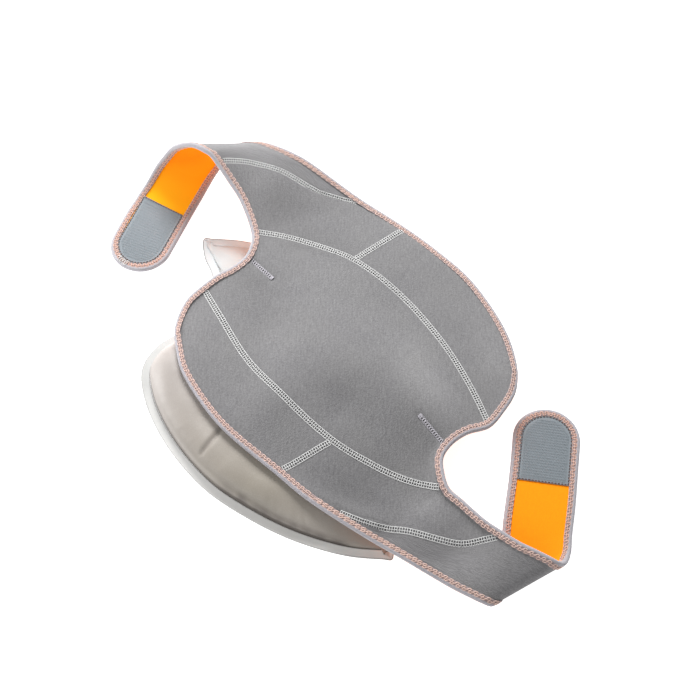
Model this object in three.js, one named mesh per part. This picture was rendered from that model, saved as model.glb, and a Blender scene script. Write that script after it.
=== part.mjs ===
// Hot and cold knee wrap lying on its gel pack, with both straps folded under.
// Millimetres, +Z up, floor at Z = 0, X along the straps, Y along the leg.
import * as THREE from 'three';

// Cloth layers, measured from the mid-surface towards the outer grey face
const OUTER_FACE = 2.15;
const OUTER_BACK = 0.15;
const LINING_FACE = -0.15;
const LINING_BACK = -1.15;
const HOOK_FACE = -1.45;
const HOOK_BACK = -2.65;
const SEAM_INSET = 0.15;
const EDGE_INSET = 1.3;

// Edge binding, a tape folded in a U over the cut edge
const TAPE_WIDTH = 8;
const TAPE_BACK = 1;
const TAPE_TOP = 3.35;
const TAPE_TOP_INNER = 2.5;
const TAPE_UNDER = -2.45;
const TAPE_UNDER_INNER = -1.6;
const TAPE_JOIN_GAP = 0.3;

// Straps
const STRAP_HALF_WIDTH = 33.4;
const FLOOR_MID = 3.4;
const HOOK_HALF_WIDTH = 24.9;
const HOOK_LENGTH = 72;
const TIP_ANGLES = [15, 30, 45, 60, 75];
const STRAP_COLUMNS = [0, 0.145, 0.38, 0.62, 0.855, 1];

// Crown of each panel above its sewn edges
const CENTRE_CROWN = 8;
const SIDE_CROWN = 2;

// Gel pack
const PACK_HEIGHT = 21.7;
const PACK_RIM_WIDTH = 9;
const PACK_RIM_THICKNESS = 1.4;
const PACK_SHOULDER = 28;
const PACK_TAB_REACH = 62;
const PACK_TAB_DROP = 0.6;
const PACK_RINGS = [0.965, 0.92, 0.86, 0.77, 0.6, 0.36];
const PACK_SAMPLES = 64;
const PIECE_GAP = 0.3;

// Seam between the centre panel and the upper band, notch to notch
const UPPER_ARC = [
  { x: -171, y: 23, z: 42 },
  { x: -136, y: 49, z: 39 },
  { x: -95.5, y: 70, z: 36.5 },
  { x: -73.5, y: 78, z: 36 },
  { x: -14, y: 84, z: 35.5 },
  { x: 50.5, y: 77, z: 35 },
  { x: 106.5, y: 62, z: 34 },
  { x: 153, y: 44, z: 33 },
];

// Seam between the centre panel and the lower band, notch to notch
const LOWER_ARC = [
  { x: -160, y: -54, z: 35 },
  { x: -120, y: -64.5, z: 34.5 },
  { x: -62, y: -78, z: 34.5 },
  { x: 0, y: -80, z: 35 },
  { x: 59.5, y: -76.5, z: 35 },
  { x: 100.5, y: -66, z: 35 },
  { x: 137, y: -52, z: 36 },
  { x: 171, y: -30, z: 37 },
];

// Arc rows where the short cross seams meet the arcs
const UPPER_CROSS_SEAM = 3;
const LOWER_CROSS_SEAM = 4;

// Grid stations on each arc, by row number
const UPPER_BASE_STATIONS = [3, 2.3, 1.6, 0.9, 0.24, 0];
const UPPER_SIDE_STATIONS = [3, 3.4, 3.8, 4.2, 4.6, 5, 5.4, 5.8, 6.3, 6.8, 7];
const LOWER_BASE_STATIONS = [4, 4.7, 5.4, 6.1, 6.74, 7];
const LOWER_SIDE_STATIONS = [4, 3.6, 3.2, 2.8, 2.4, 2, 1.6, 1.2, 0.7, 0.24, 0];

// Upper strap: from the left notch up, over its loop and back along the floor
const UPPER_STRAP = [
  { nearX: -171, nearY: 23, nearZ: 42, farX: -158, farY: 134, farZ: 36.5 },
  { nearX: -206, nearY: 38, nearZ: 49, farX: -195, farY: 126.5, farZ: 45 },
  { nearX: -224, nearY: 41, nearZ: 55, farX: -213, farY: 120.5, farZ: 48 },
  { nearX: -242, nearY: 43, nearZ: 62, farX: -231, farY: 114, farZ: 47 },
  { nearX: -257, nearY: 44, nearZ: 69, farX: -245, farY: 109, farZ: 43 },
  { nearX: -266, nearY: 42, nearZ: 72.5, farX: -254, farY: 105, farZ: 38.5 },
  { nearX: -281, nearY: 38, nearZ: 71, farX: -266, farY: 99, farZ: 30 },
  { nearX: -293, nearY: 33, nearZ: 64, farX: -274, farY: 90, farZ: 19.5 },
  { nearX: -304, nearY: 27, nearZ: 53, farX: -277, farY: 77, farZ: 11 },
  { nearX: -310, nearY: 19, nearZ: 40, farX: -274, farY: 63, farZ: 7 },
  { nearX: -314, nearY: 10, nearZ: 28, farX: -270, farY: 50, farZ: 5 },
  { nearX: -314, nearY: -6, nearZ: 13, farX: -260, farY: 25, farZ: 3.4 },
  { nearX: -310, nearY: -28, nearZ: 3.4, farX: -249, farY: -1, farZ: 3.4 },
];
const UPPER_TIP = { x: -260.5, y: -57.5, heading: -66 };

// Lower strap: from the right notch down to its tight fold and back along the floor
const LOWER_STRAP = [
  { nearX: 171, nearY: -30, nearZ: 37, farX: 145.5, farY: -118.5, farZ: 20 },
  { nearX: 188, nearY: -29, nearZ: 35.5, farX: 162, farY: -114, farZ: 19.2 },
  { nearX: 215, nearY: -27, nearZ: 33, farX: 188, farY: -106.5, farZ: 17.8 },
  { nearX: 233, nearY: -23, nearZ: 31, farX: 206, farY: -101.5, farZ: 16.3 },
  { nearX: 252, nearY: -18, nearZ: 29, farX: 225.5, farY: -96, farZ: 15 },
  { nearX: 267, nearY: -12, nearZ: 27, farX: 240.5, farY: -91.5, farZ: 14.2 },
  { nearX: 279, nearY: -7, nearZ: 24.5, farX: 253, farY: -87, farZ: 13.6 },
  { nearX: 289, nearY: -2, nearZ: 20, farX: 264, farY: -82.5, farZ: 12.2 },
  { nearX: 292, nearY: 5, nearZ: 13.5, farX: 270.5, farY: -77, farZ: 8 },
  { nearX: 288, nearY: 17, nearZ: 7, farX: 265, farY: -66, farZ: 3.8 },
  { nearX: 277, nearY: 32, nearZ: 3.8, farX: 248, farY: -38, farZ: 3.4 },
  { nearX: 259, nearY: 57, nearZ: 3.4, farX: 222, farY: -6, farZ: 3.4 },
  { nearX: 238, nearY: 84, nearZ: 3.4, farX: 195, farY: 31, farZ: 3.4 },
];
const LOWER_TIP = { x: 193, y: 87.5, heading: 128 };

// Curved seam where each strap is sewn to its base: strap row at each column, far edge to near edge,
// and the straight ruling of the strap that lies just past the seam
const UPPER_SEAM = { rows: [-2, -1.15, 1.1, 2.78, 3.37, 3.5], ruling: 4.6 };
const LOWER_SEAM = { rows: [-1.5, -0.5, 1.28, 2.75, 3.13, 3.3], ruling: 3.8 };

// Section rows of each strap past the ruling that closes its slanting seam
const UPPER_STRAP_STATIONS = [5, 5.5, 6, 6.5, 7, 7.5, 8, 8.5, 9, 9.5, 10, 10.5, 11, 11.4, 11.75, 12, 12.5, 13];
const LOWER_STRAP_STATIONS = [4.4, 5.2, 6, 6.5, 6.9, 7.25, 7.55, 7.8, 8.05, 8.3, 8.6, 9, 9.5, 10, 10.6, 11.3, 12, 13];
const SEAM_STATIONS = [0, 0.14, 0.28, 0.42, 0.56, 0.7, 0.85, 1];
const BASE_STATIONS = [0, 0.12, 0.25, 0.38, 0.5, 0.63, 0.75, 0.88, 1];

// Outer edge from the upper strap round the right lobe and into the right notch
const UPPER_OUTER_EDGE = [
  { x: -128, y: 139, z: 32 },
  { x: -67, y: 150, z: 28.5 },
  { x: -22, y: 154, z: 28 },
  { x: 21, y: 154, z: 27.5 },
  { x: 76, y: 141, z: 27 },
  { x: 105, y: 128, z: 26.5 },
  { x: 128, y: 111, z: 26.5 },
  { x: 143, y: 92, z: 27.5 },
  { x: 150, y: 68, z: 29.5 },
  { x: 153, y: 44, z: 33 },
  { x: 144, y: 22, z: 36 },
  { x: 142, y: 3, z: 38 },
  { x: 146, y: -13, z: 38.5 },
  { x: 157, y: -23, z: 38.3 },
];

// Outer edge from the lower strap round the left lobe and into the left notch
const LOWER_OUTER_EDGE = [
  { x: 82, y: -133, z: 23.5 },
  { x: 43, y: -137, z: 24.5 },
  { x: -26.3, y: -143, z: 24.5 },
  { x: -64.5, y: -139.7, z: 24.5 },
  { x: -104.2, y: -130.6, z: 25 },
  { x: -123.3, y: -120.4, z: 25.5 },
  { x: -141, y: -108, z: 26.5 },
  { x: -151, y: -96, z: 28 },
  { x: -160, y: -75, z: 31 },
  { x: -160, y: -54, z: 35 },
  { x: -158, y: -36, z: 37.5 },
  { x: -153, y: -18, z: 40 },
  { x: -153, y: -1, z: 41 },
  { x: -161, y: 14, z: 42 },
];

// Rows of the outer edge tables where the cross seam, lobe corner and notch arc end lie
const EDGE_ROW = { strap: 0, crossSeam: 1, lobeCorner: 6, arcEnd: 9, notchEnd: 14 };
const SIDE_CELLS = 6;
const NOTCH_CELLS = 12;
const LOBE_FRACTIONS = [0, 0.15, 0.33, 0.5, 0.67, 0.85, 1];
const SIDE_FRACTIONS = [0, 0.17, 0.34, 0.51, 0.68, 0.85, 1];

// Half of the gel pack outline; the other half is the same turned half a turn
const PACK_CENTRE = { x: -23, y: -56 };
const PACK_HALF_OUTLINE = [
  { x: -222, y: -3 },
  { x: -204, y: -18 },
  { x: -178, y: -29 },
  { x: -155, y: -58 },
  { x: -151, y: -91 },
  { x: -155, y: -124 },
  { x: -146, y: -151 },
  { x: -119, y: -171 },
  { x: -66, y: -188 },
  { x: -4, y: -192 },
  { x: 44, y: -183 },
  { x: 96, y: -165 },
  { x: 143, y: -138.5 },
  { x: 169, y: -116 },
];

const vec = (p) => new THREE.Vector3(p.x, p.y, p.z ?? 0);
const nearPoint = (r) => new THREE.Vector3(r.nearX, r.nearY, r.nearZ);
const farPoint = (r) => new THREE.Vector3(r.farX, r.farY, r.farZ);
const lerp = (a, b, t) => a + (b - a) * t;

// Smooth curve through table rows, read by row number
function spline(points, row) {
  const last = points.length - 1;
  const i = Math.min(Math.max(Math.floor(row), 0), last - 1);
  const s = row - i;
  const span = (k) => Math.sqrt(points[k].distanceTo(points[k + 1]));
  const slope = (k) => points[k + 1].clone().sub(points[k]).divideScalar(span(k));
  const inner = (k) => {
    const before = span(k - 1);
    const after = span(k);
    const mixed = slope(k - 1).multiplyScalar(after).addScaledVector(slope(k), before);
    return mixed.divideScalar(before + after);
  };
  const tangent = (k) => {
    if (k === 0) return slope(0).multiplyScalar(1.5).addScaledVector(inner(1), -0.5);
    if (k === last) return slope(last - 1).multiplyScalar(1.5).addScaledVector(inner(last - 1), -0.5);
    return inner(k);
  };
  const h = span(i);
  const point = points[i].clone().multiplyScalar(2 * s ** 3 - 3 * s ** 2 + 1);
  point.addScaledVector(tangent(i), (s ** 3 - 2 * s ** 2 + s) * h);
  point.addScaledVector(points[i + 1], -2 * s ** 3 + 3 * s ** 2);
  point.addScaledVector(tangent(i + 1), (s ** 3 - s ** 2) * h);
  return point;
}

// Cloth never sinks below the height at which it rests on the floor
function edgePoint(points, row) {
  const point = spline(points, row);
  point.z = Math.max(point.z, FLOOR_MID);
  return point;
}

// Round strap tip: heading, side towards the near edge and centre
function tipFrame(tip) {
  const angle = THREE.MathUtils.degToRad(tip.heading);
  const heading = new THREE.Vector3(Math.cos(angle), Math.sin(angle), 0);
  const near = new THREE.Vector3(heading.y, -heading.x, 0);
  const centre = new THREE.Vector3(tip.x, tip.y, FLOOR_MID);
  return { heading, near, centre };
}

// Strap edges with the tip's widest chord as the last row
function strapEdges(table, tip) {
  const { near, centre } = tipFrame(tip);
  return {
    near: [...table.map(nearPoint), centre.clone().addScaledVector(near, STRAP_HALF_WIDTH)],
    far: [...table.map(farPoint), centre.clone().addScaledVector(near, -STRAP_HALF_WIDTH)],
  };
}

const upperStrapEdges = strapEdges(UPPER_STRAP, UPPER_TIP);
const lowerStrapEdges = strapEdges(LOWER_STRAP, LOWER_TIP);
const upperArc = UPPER_ARC.map(vec);
const lowerArc = LOWER_ARC.map(vec);
const upperEdge = [
  ...upperStrapEdges.far.slice().reverse(),
  ...UPPER_OUTER_EDGE.map(vec),
  ...lowerStrapEdges.near,
];
const lowerEdge = [
  ...lowerStrapEdges.far.slice().reverse(),
  ...LOWER_OUTER_EDGE.map(vec),
  ...upperStrapEdges.near,
];
const upperEdgeStart = upperStrapEdges.far.length;
const lowerEdgeStart = lowerStrapEdges.far.length;
const strapRows = UPPER_STRAP.length;

// One band: the lobe side and the strap side of the wrap, both read from the same three curves
const upperBand = {
  arc: upperArc,
  outerAt: (row) => edgePoint(upperEdge, upperEdgeStart + row),
  farAt: (row) => edgePoint(upperEdge, upperEdgeStart - 1 - row),
  nearAt: (row) => edgePoint(lowerEdge, lowerEdgeStart + EDGE_ROW.notchEnd + row),
  crossSeam: UPPER_CROSS_SEAM,
  baseStations: UPPER_BASE_STATIONS,
  sideStations: UPPER_SIDE_STATIONS,
  strapStations: UPPER_STRAP_STATIONS,
  seam: UPPER_SEAM,
  tip: UPPER_TIP,
};
const lowerBand = {
  arc: lowerArc,
  outerAt: (row) => edgePoint(lowerEdge, lowerEdgeStart + row),
  farAt: (row) => edgePoint(lowerEdge, lowerEdgeStart - 1 - row),
  nearAt: (row) => edgePoint(upperEdge, upperEdgeStart + EDGE_ROW.notchEnd + row),
  crossSeam: LOWER_CROSS_SEAM,
  baseStations: LOWER_BASE_STATIONS,
  sideStations: LOWER_SIDE_STATIONS,
  strapStations: LOWER_STRAP_STATIONS,
  seam: LOWER_SEAM,
  tip: LOWER_TIP,
};

// Rows before the strap table run along the arc on one side and the outer edge on the other
const baseRows = (band) => Math.abs(band.crossSeam - band.baseStations[band.baseStations.length - 1]);
function bandPoint(band, row, across) {
  const arcEnd = band.baseStations[band.baseStations.length - 1];
  const arcStep = Math.sign(band.crossSeam - arcEnd);
  const near = row < 0 ? spline(band.arc, arcEnd - arcStep * row) : band.nearAt(row);
  const far = row < 0 ? band.farAt(row * 2 / baseRows(band)) : band.farAt(row);
  return far.lerp(near, across);
}

// Panel filling four sewn sides, with a crown in its middle
function fourSided(low, high, start, end, crown) {
  const n = low.length - 1;
  const m = start.length - 1;
  const length = (line) => line.map((p, i) => (i ? p.distanceTo(line[i - 1]) : 0));
  const shares = (line) => {
    const steps = length(line);
    const total = steps.reduce((a, b) => a + b, 0);
    let run = 0;
    return steps.map((d) => {
      run += d;
      return run / total;
    });
  };
  const lowU = shares(low);
  const highU = shares(high);
  const startV = shares(start);
  const endV = shares(end);
  return low.map((_, i) => start.map((__, j) => {
    const u = lerp(lowU[i], highU[i], j / m);
    const v = lerp(startV[j], endV[j], i / n);
    const point = low[i].clone().lerp(high[i], v);
    point.add(start[j].clone().lerp(end[j], u));
    point.sub(low[0].clone().lerp(low[n], u).lerp(high[0].clone().lerp(high[n], u), v));
    point.z += crown * 16 * u * (1 - u) * v * (1 - v);
    return point;
  }));
}

// Mid-surface grids
const notchRows = Array.from({ length: NOTCH_CELLS + 1 }, (_, j) => j / NOTCH_CELLS);
const notchAt = (band, share) => {
  return band.outerAt(lerp(EDGE_ROW.notchEnd, EDGE_ROW.arcEnd, share));
};
const centreGrid = fourSided(
  [...LOWER_SIDE_STATIONS.slice().reverse(), ...LOWER_BASE_STATIONS.slice(1)].map((r) => spline(lowerArc, r)),
  [...UPPER_BASE_STATIONS.slice().reverse(), ...UPPER_SIDE_STATIONS.slice(1)].map((r) => spline(upperArc, r)),
  notchRows.map((v) => notchAt(lowerBand, 1 - v)),
  notchRows.map((v) => notchAt(upperBand, v)),
  CENTRE_CROWN,
);

function sideGrid(band) {
  const n = band.sideStations.length - 1;
  const outerRow = (i) => lerp(EDGE_ROW.crossSeam, EDGE_ROW.lobeCorner, i / n);
  const lobeRow = (v) => lerp(EDGE_ROW.arcEnd, EDGE_ROW.lobeCorner, v);
  const junction = spline(band.arc, band.crossSeam);
  const seamEnd = band.outerAt(EDGE_ROW.crossSeam);
  return fourSided(
    band.sideStations.map((r) => spline(band.arc, r)),
    band.sideStations.map((_, i) => band.outerAt(outerRow(i))),
    SIDE_FRACTIONS.map((v) => junction.clone().lerp(seamEnd, v)),
    LOBE_FRACTIONS.map((v) => band.outerAt(lobeRow(v))),
    SIDE_CROWN,
  );
}

function baseGrid(band) {
  const arcEnd = band.baseStations[band.baseStations.length - 1];
  const arcRows = band.baseStations.map((r) => -Math.abs(r - arcEnd));
  const seamNear = band.seam.rows[STRAP_COLUMNS.length - 1];
  const edgeRows = BASE_STATIONS.slice(1).map((s) => s * seamNear);
  const nearRows = [...arcRows, ...edgeRows];
  const first = nearRows[0];
  return nearRows.map((row) => STRAP_COLUMNS.map((across, j) => {
    const share = (row - first) / (seamNear - first);
    return bandPoint(band, lerp(first, band.seam.rows[j], share), across);
  }));
}

function strapGrid(band) {
  const { heading, near, centre } = tipFrame(band.tip);
  const slanted = SEAM_STATIONS.map((s) => STRAP_COLUMNS.map((across, j) => {
    return bandPoint(band, lerp(band.seam.rows[j], band.seam.ruling, s), across);
  }));
  const ruled = band.strapStations.map((row) => STRAP_COLUMNS.map((across) => bandPoint(band, row, across)));
  const round = TIP_ANGLES.map((degrees) => STRAP_COLUMNS.map((across) => {
    const angle = THREE.MathUtils.degToRad(degrees);
    const aside = STRAP_HALF_WIDTH * Math.cos(angle) * (2 * across - 1);
    const full = Math.sqrt(STRAP_HALF_WIDTH ** 2 - aside ** 2);
    const straight = STRAP_HALF_WIDTH * Math.sin(angle);
    const ahead = degrees === TIP_ANGLES[TIP_ANGLES.length - 1] ? full : straight;
    return centre.clone().addScaledVector(heading, ahead).addScaledVector(near, aside);
  }));
  return [...slanted, ...ruled, ...round];
}

const upperSideGrid = sideGrid(upperBand);
const lowerSideGrid = sideGrid(lowerBand);
const upperBaseGrid = baseGrid(upperBand);
const lowerBaseGrid = baseGrid(lowerBand);
const upperStrapGrid = strapGrid(upperBand);
const lowerStrapGrid = strapGrid(lowerBand);

// Cloth normals, shared by panels that meet along a seam
const normalSums = new Map();
const keyOf = (p) => [p.x, p.y, p.z].map((v) => Math.round(v * 50)).join();
function addNormals(grid) {
  for (let i = 0; i + 1 < grid.length; i += 1) {
    for (let j = 0; j + 1 < grid[i].length; j += 1) {
      const corners = [grid[i][j], grid[i + 1][j], grid[i + 1][j + 1], grid[i][j + 1]];
      const across = corners[2].clone().sub(corners[0]);
      const normal = across.cross(corners[3].clone().sub(corners[1])).normalize();
      for (const corner of corners) {
        const key = keyOf(corner);
        if (!normalSums.has(key)) normalSums.set(key, new THREE.Vector3());
        normalSums.get(key).add(normal);
      }
    }
  }
}
const bandGrids = [upperSideGrid, lowerSideGrid, upperBaseGrid, lowerBaseGrid, upperStrapGrid, lowerStrapGrid];
for (const grid of [centreGrid, ...bandGrids]) addNormals(grid);
const normalAt = (p) => normalSums.get(keyOf(p)).clone().normalize();

// Step lying in the cloth that goes one millimetre in from its edge
function inward(inner, here, before, after) {
  const along = after.clone().sub(before).normalize();
  const into = inner.clone().sub(here);
  const square = into.clone().addScaledVector(along, -into.dot(along));
  return into.divideScalar(square.length());
}

// Panel corner drawn in from both of the sides that meet there
function cornerIn(here, first, firstInset, second, secondInset) {
  const one = first.clone().sub(here).normalize();
  const two = second.clone().sub(here).normalize();
  const sine = one.clone().cross(two).length();
  return here.clone().addScaledVector(one, secondInset / sine).addScaledVector(two, firstInset / sine);
}

// Panel grid drawn in from its sewn sides, bound edges and round tip
function drawnIn(grid, insets) {
  const n = grid.length - 1;
  const m = grid[0].length - 1;
  const row = (i, j) => grid[Math.min(Math.max(i, 0), n)][Math.min(Math.max(j, 0), m)];
  return grid.map((line, i) => line.map((here, j) => {
    const moved = here.clone();
    const atEnd = i === 0 || i === n;
    const atSide = j === 0 || j === m;
    if (insets.tip && i > n - TIP_ANGLES.length && (atEnd || atSide)) {
      return moved.addScaledVector(insets.tip.clone().sub(here).normalize(), EDGE_INSET);
    }
    if (atEnd && atSide) {
      const alongSide = row(i === 0 ? 1 : n - 1, j);
      const alongEnd = row(i, j === 0 ? 1 : m - 1);
      const sideInset = j === 0 ? insets.low(i) : insets.high(i);
      return cornerIn(here, alongSide, sideInset, alongEnd, i === 0 ? insets.start : insets.end);
    }
    if (i === 0) moved.addScaledVector(inward(row(1, j), here, row(0, j - 1), row(0, j + 1)), insets.start);
    if (i === n) moved.addScaledVector(inward(row(n - 1, j), here, row(n, j - 1), row(n, j + 1)), insets.end);
    if (j === 0) moved.addScaledVector(inward(row(i, 1), here, row(i - 1, 0), row(i + 1, 0)), insets.low(i));
    if (j === m) moved.addScaledVector(inward(row(i, m - 1), here, row(i - 1, m), row(i + 1, m)), insets.high(i));
    return moved;
  }));
}

function geometryOf(positions, faces) {
  const geometry = new THREE.BufferGeometry();
  geometry.setAttribute('position', new THREE.Float32BufferAttribute(positions.flatMap((p) => [p.x, p.y, p.z]), 3));
  geometry.setIndex(faces.flat());
  geometry.computeVertexNormals();
  return geometry;
}

// Closed sheet between two heights above the mid-surface
function sheet(grid, insets, top, under) {
  const n = grid.length;
  const m = grid[0].length;
  const drawn = drawnIn(grid, insets);
  const offset = (height) => drawn.flatMap((line, i) => line.map((p, j) => {
    return p.clone().addScaledVector(normalAt(grid[i][j]), height);
  }));
  const positions = [...offset(top), ...offset(under)];
  const upper = (i, j) => i * m + j;
  const lower = (i, j) => n * m + i * m + j;
  const faces = [];
  const quad = (a, b, c, d) => faces.push([a, b, c], [a, c, d]);
  for (let i = 0; i + 1 < n; i += 1) {
    for (let j = 0; j + 1 < m; j += 1) {
      quad(upper(i, j), upper(i + 1, j), upper(i + 1, j + 1), upper(i, j + 1));
      faces.push([lower(i, j), lower(i + 1, j + 1), lower(i + 1, j)]);
      faces.push([lower(i, j), lower(i, j + 1), lower(i + 1, j + 1)]);
    }
  }
  for (let i = 0; i + 1 < n; i += 1) {
    quad(upper(i, 0), lower(i, 0), lower(i + 1, 0), upper(i + 1, 0));
    quad(upper(i + 1, m - 1), lower(i + 1, m - 1), lower(i, m - 1), upper(i, m - 1));
  }
  for (let j = 0; j + 1 < m; j += 1) {
    quad(upper(0, j + 1), lower(0, j + 1), lower(0, j), upper(0, j));
    quad(upper(n - 1, j), lower(n - 1, j), lower(n - 1, j + 1), upper(n - 1, j + 1));
  }
  return geometryOf(positions, faces);
}

// Binding path: a point on the edge, the point next to it inside the panel, and whether the edge is round
const between = (from, to) => {
  return Array.from({ length: Math.abs(to - from) + 1 }, (_, k) => from + Math.sign(to - from) * k);
};
function columnStops(grid, column, from, to) {
  const next = column === 0 ? 1 : column - 1;
  return between(from, to).map((i) => ({ here: grid[i][column], inner: grid[i][next] }));
}
function rowStops(grid, row, from, to) {
  const next = row === 0 ? 1 : row - 1;
  return between(from, to).map((j) => ({ here: grid[row][j], inner: grid[next][j] }));
}

// Round end of a strap, from the middle of its tip, where the two tapes meet, back along one edge
function tipStops(grid, tip, column) {
  const { heading, near, centre } = tipFrame(tip);
  const last = grid.length - 1;
  const middle = centre.clone().addScaledVector(heading, STRAP_HALF_WIDTH);
  const own = column === 0 ? -1 : 1;
  middle.addScaledVector(near, own * TAPE_JOIN_GAP / 2);
  const halfway = (STRAP_COLUMNS.length - 1 + own) / 2;
  const points = [
    middle,
    ...between(halfway, column).map((j) => grid[last][j]),
    ...between(last - 1, last - TIP_ANGLES.length + 1).map((i) => grid[i][column]),
  ];
  const normal = normalAt(grid[last][column]);
  return points.map((here) => ({ here, inner: centre, round: true, normal }));
}

const nearColumn = STRAP_COLUMNS.length - 1;
const baseCorner = UPPER_BASE_STATIONS.length - 1;
const lastOf = (grid) => grid.length - 1;
const beforeTip = (grid) => grid.length - 1 - TIP_ANGLES.length;
function edgePath(farBand, notchRow, notchFrom, notchTo, nearBand) {
  const { side } = farBand;
  const lobeEnd = lastOf(side);
  const lobeCorner = { here: side[lobeEnd][SIDE_CELLS], inner: side[lobeEnd - 1][SIDE_CELLS - 1] };
  const raw = [
    ...tipStops(farBand.strap, farBand.tip, 0),
    ...columnStops(farBand.strap, 0, beforeTip(farBand.strap), 0),
    ...columnStops(farBand.base, 0, lastOf(farBand.base), 0),
    ...columnStops(side, SIDE_CELLS, 0, lobeEnd - 1),
    lobeCorner,
    ...rowStops(side, lobeEnd, SIDE_CELLS - 1, 0),
    ...rowStops(centreGrid, notchRow, notchFrom, notchTo),
    ...columnStops(nearBand.base, nearColumn, baseCorner, lastOf(nearBand.base)),
    ...columnStops(nearBand.strap, nearColumn, 0, beforeTip(nearBand.strap)),
    ...tipStops(nearBand.strap, nearBand.tip, nearColumn).reverse(),
  ];
  return raw.filter((stop, i) => i === 0 || stop.here.distanceTo(raw[i - 1].here) > 0.05);
}

// Tape folded over the edge, swept along the path
function tape(path) {
  const profile = [
    [0, TAPE_UNDER],
    [0, TAPE_TOP],
    [TAPE_WIDTH, TAPE_TOP],
    [TAPE_WIDTH, TAPE_TOP_INNER],
    [TAPE_BACK, TAPE_TOP_INNER],
    [TAPE_BACK, TAPE_UNDER_INNER],
    [TAPE_WIDTH, TAPE_UNDER_INNER],
    [TAPE_WIDTH, TAPE_UNDER],
  ];
  const positions = path.flatMap((stop, i) => {
    const before = path[Math.max(i - 1, 0)].here;
    const after = path[Math.min(i + 1, path.length - 1)].here;
    const towardsCentre = stop.inner.clone().sub(stop.here).normalize();
    const depth = stop.round ? towardsCentre : inward(stop.inner, stop.here, before, after);
    const normal = stop.normal ?? normalAt(stop.here);
    return profile.map(([reach, height]) => {
      return stop.here.clone().addScaledVector(depth, reach).addScaledVector(normal, height);
    });
  });
  const size = profile.length;
  const faces = [];
  for (let i = 0; i + 1 < path.length; i += 1) {
    for (let k = 0; k < size; k += 1) {
      const next = (k + 1) % size;
      const [a, b, c, d] = [i * size + k, i * size + next, (i + 1) * size + next, (i + 1) * size + k];
      faces.push([a, b, c], [a, c, d]);
    }
  }
  const cap = [[1, 2, 3], [1, 3, 4], [0, 1, 4], [0, 4, 5], [0, 5, 6], [0, 6, 7]];
  const end = (path.length - 1) * size;
  for (const [a, b, c] of cap) {
    faces.push([a, c, b], [end + a, end + b, end + c]);
  }
  return geometryOf(positions, faces);
}

// Hook patch on the flat tip of a strap, inside the binding
function hookPatch(tip) {
  const outline = new THREE.Shape();
  outline.moveTo(-HOOK_HALF_WIDTH, HOOK_HALF_WIDTH - HOOK_LENGTH);
  outline.lineTo(HOOK_HALF_WIDTH, HOOK_HALF_WIDTH - HOOK_LENGTH);
  outline.lineTo(HOOK_HALF_WIDTH, 0);
  outline.absarc(0, 0, HOOK_HALF_WIDTH, 0, Math.PI, false);
  const depth = HOOK_FACE - HOOK_BACK;
  const geometry = new THREE.ExtrudeGeometry(outline, { depth, bevelEnabled: false, curveSegments: 14 });
  geometry.rotateZ(THREE.MathUtils.degToRad(tip.heading - 90));
  geometry.translate(tip.x, tip.y, FLOOR_MID - HOOK_FACE);
  return geometry;
}

// Gel pack outline, its weld line and the pillow between
function packOutline() {
  const half = PACK_HALF_OUTLINE.map(vec);
  const turned = half.map((p) => new THREE.Vector3(2 * PACK_CENTRE.x - p.x, 2 * PACK_CENTRE.y - p.y, 0));
  const curve = new THREE.CatmullRomCurve3([...half, ...turned], true, 'centripetal');
  return curve.getSpacedPoints(PACK_SAMPLES).slice(0, PACK_SAMPLES);
}
function shrunk(outline, distance) {
  const n = outline.length;
  return outline.map((p, i) => {
    const along = outline[(i + 1) % n].clone().sub(outline[(i + n - 1) % n]).normalize();
    return p.clone().add(new THREE.Vector3(-along.y, along.x, 0).multiplyScalar(distance));
  });
}
function ring(outer, inner, bottom, top) {
  const n = outer.length;
  const at = (line, z) => line.map((p) => new THREE.Vector3(p.x, p.y, z));
  const positions = [...at(outer, bottom), ...at(outer, top), ...at(inner, top), ...at(inner, bottom)];
  const faces = [];
  for (let i = 0; i < n; i += 1) {
    for (let k = 0; k < 4; k += 1) {
      const next = (k + 1) % 4;
      const j = (i + 1) % n;
      faces.push([k * n + i, k * n + j, next * n + j], [k * n + i, next * n + j, next * n + i]);
    }
  }
  return geometryOf(positions, faces);
}
function distanceTo(outline, point) {
  const n = outline.length;
  let best = Infinity;
  outline.forEach((a, i) => {
    const line = new THREE.Line3(a, outline[(i + 1) % n]);
    const foot = line.closestPointToPoint(point, true, new THREE.Vector3());
    best = Math.min(best, foot.distanceTo(point));
  });
  return best;
}
function pillow(weld, tabs) {
  const n = weld.length;
  const centre = new THREE.Vector3(PACK_CENTRE.x, PACK_CENTRE.y, 0);
  const heightAt = (point) => {
    const rise = Math.min(distanceTo(weld, point) / PACK_SHOULDER, 1);
    let drop = 1;
    for (const tab of tabs) {
      drop -= PACK_TAB_DROP * Math.exp(-((tab.distanceTo(point) / PACK_TAB_REACH) ** 2));
    }
    return lerp(PACK_RIM_THICKNESS, PACK_HEIGHT, Math.sqrt(1 - (1 - rise) ** 2) * drop);
  };
  const bottom = weld.map((p) => p.clone());
  const welded = weld.map((p) => new THREE.Vector3(p.x, p.y, PACK_RIM_THICKNESS));
  const rings = PACK_RINGS.map((share) => weld.map((p) => {
    const point = centre.clone().lerp(p, share);
    point.z = heightAt(point);
    return point;
  }));
  const crown = centre.clone();
  crown.z = heightAt(centre);
  const positions = [...bottom, ...welded, ...rings.flat(), crown, centre];
  const top = positions.length - 2;
  const under = positions.length - 1;
  const faces = [];
  for (let i = 0; i < n; i += 1) {
    const j = (i + 1) % n;
    for (let k = 0; k <= PACK_RINGS.length; k += 1) {
      faces.push([k * n + i, k * n + j, (k + 1) * n + j], [k * n + i, (k + 1) * n + j, (k + 1) * n + i]);
    }
    const last = (PACK_RINGS.length + 1) * n;
    faces.push([last + i, last + j, top], [j, i, under]);
  }
  return geometryOf(positions, faces);
}

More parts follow.
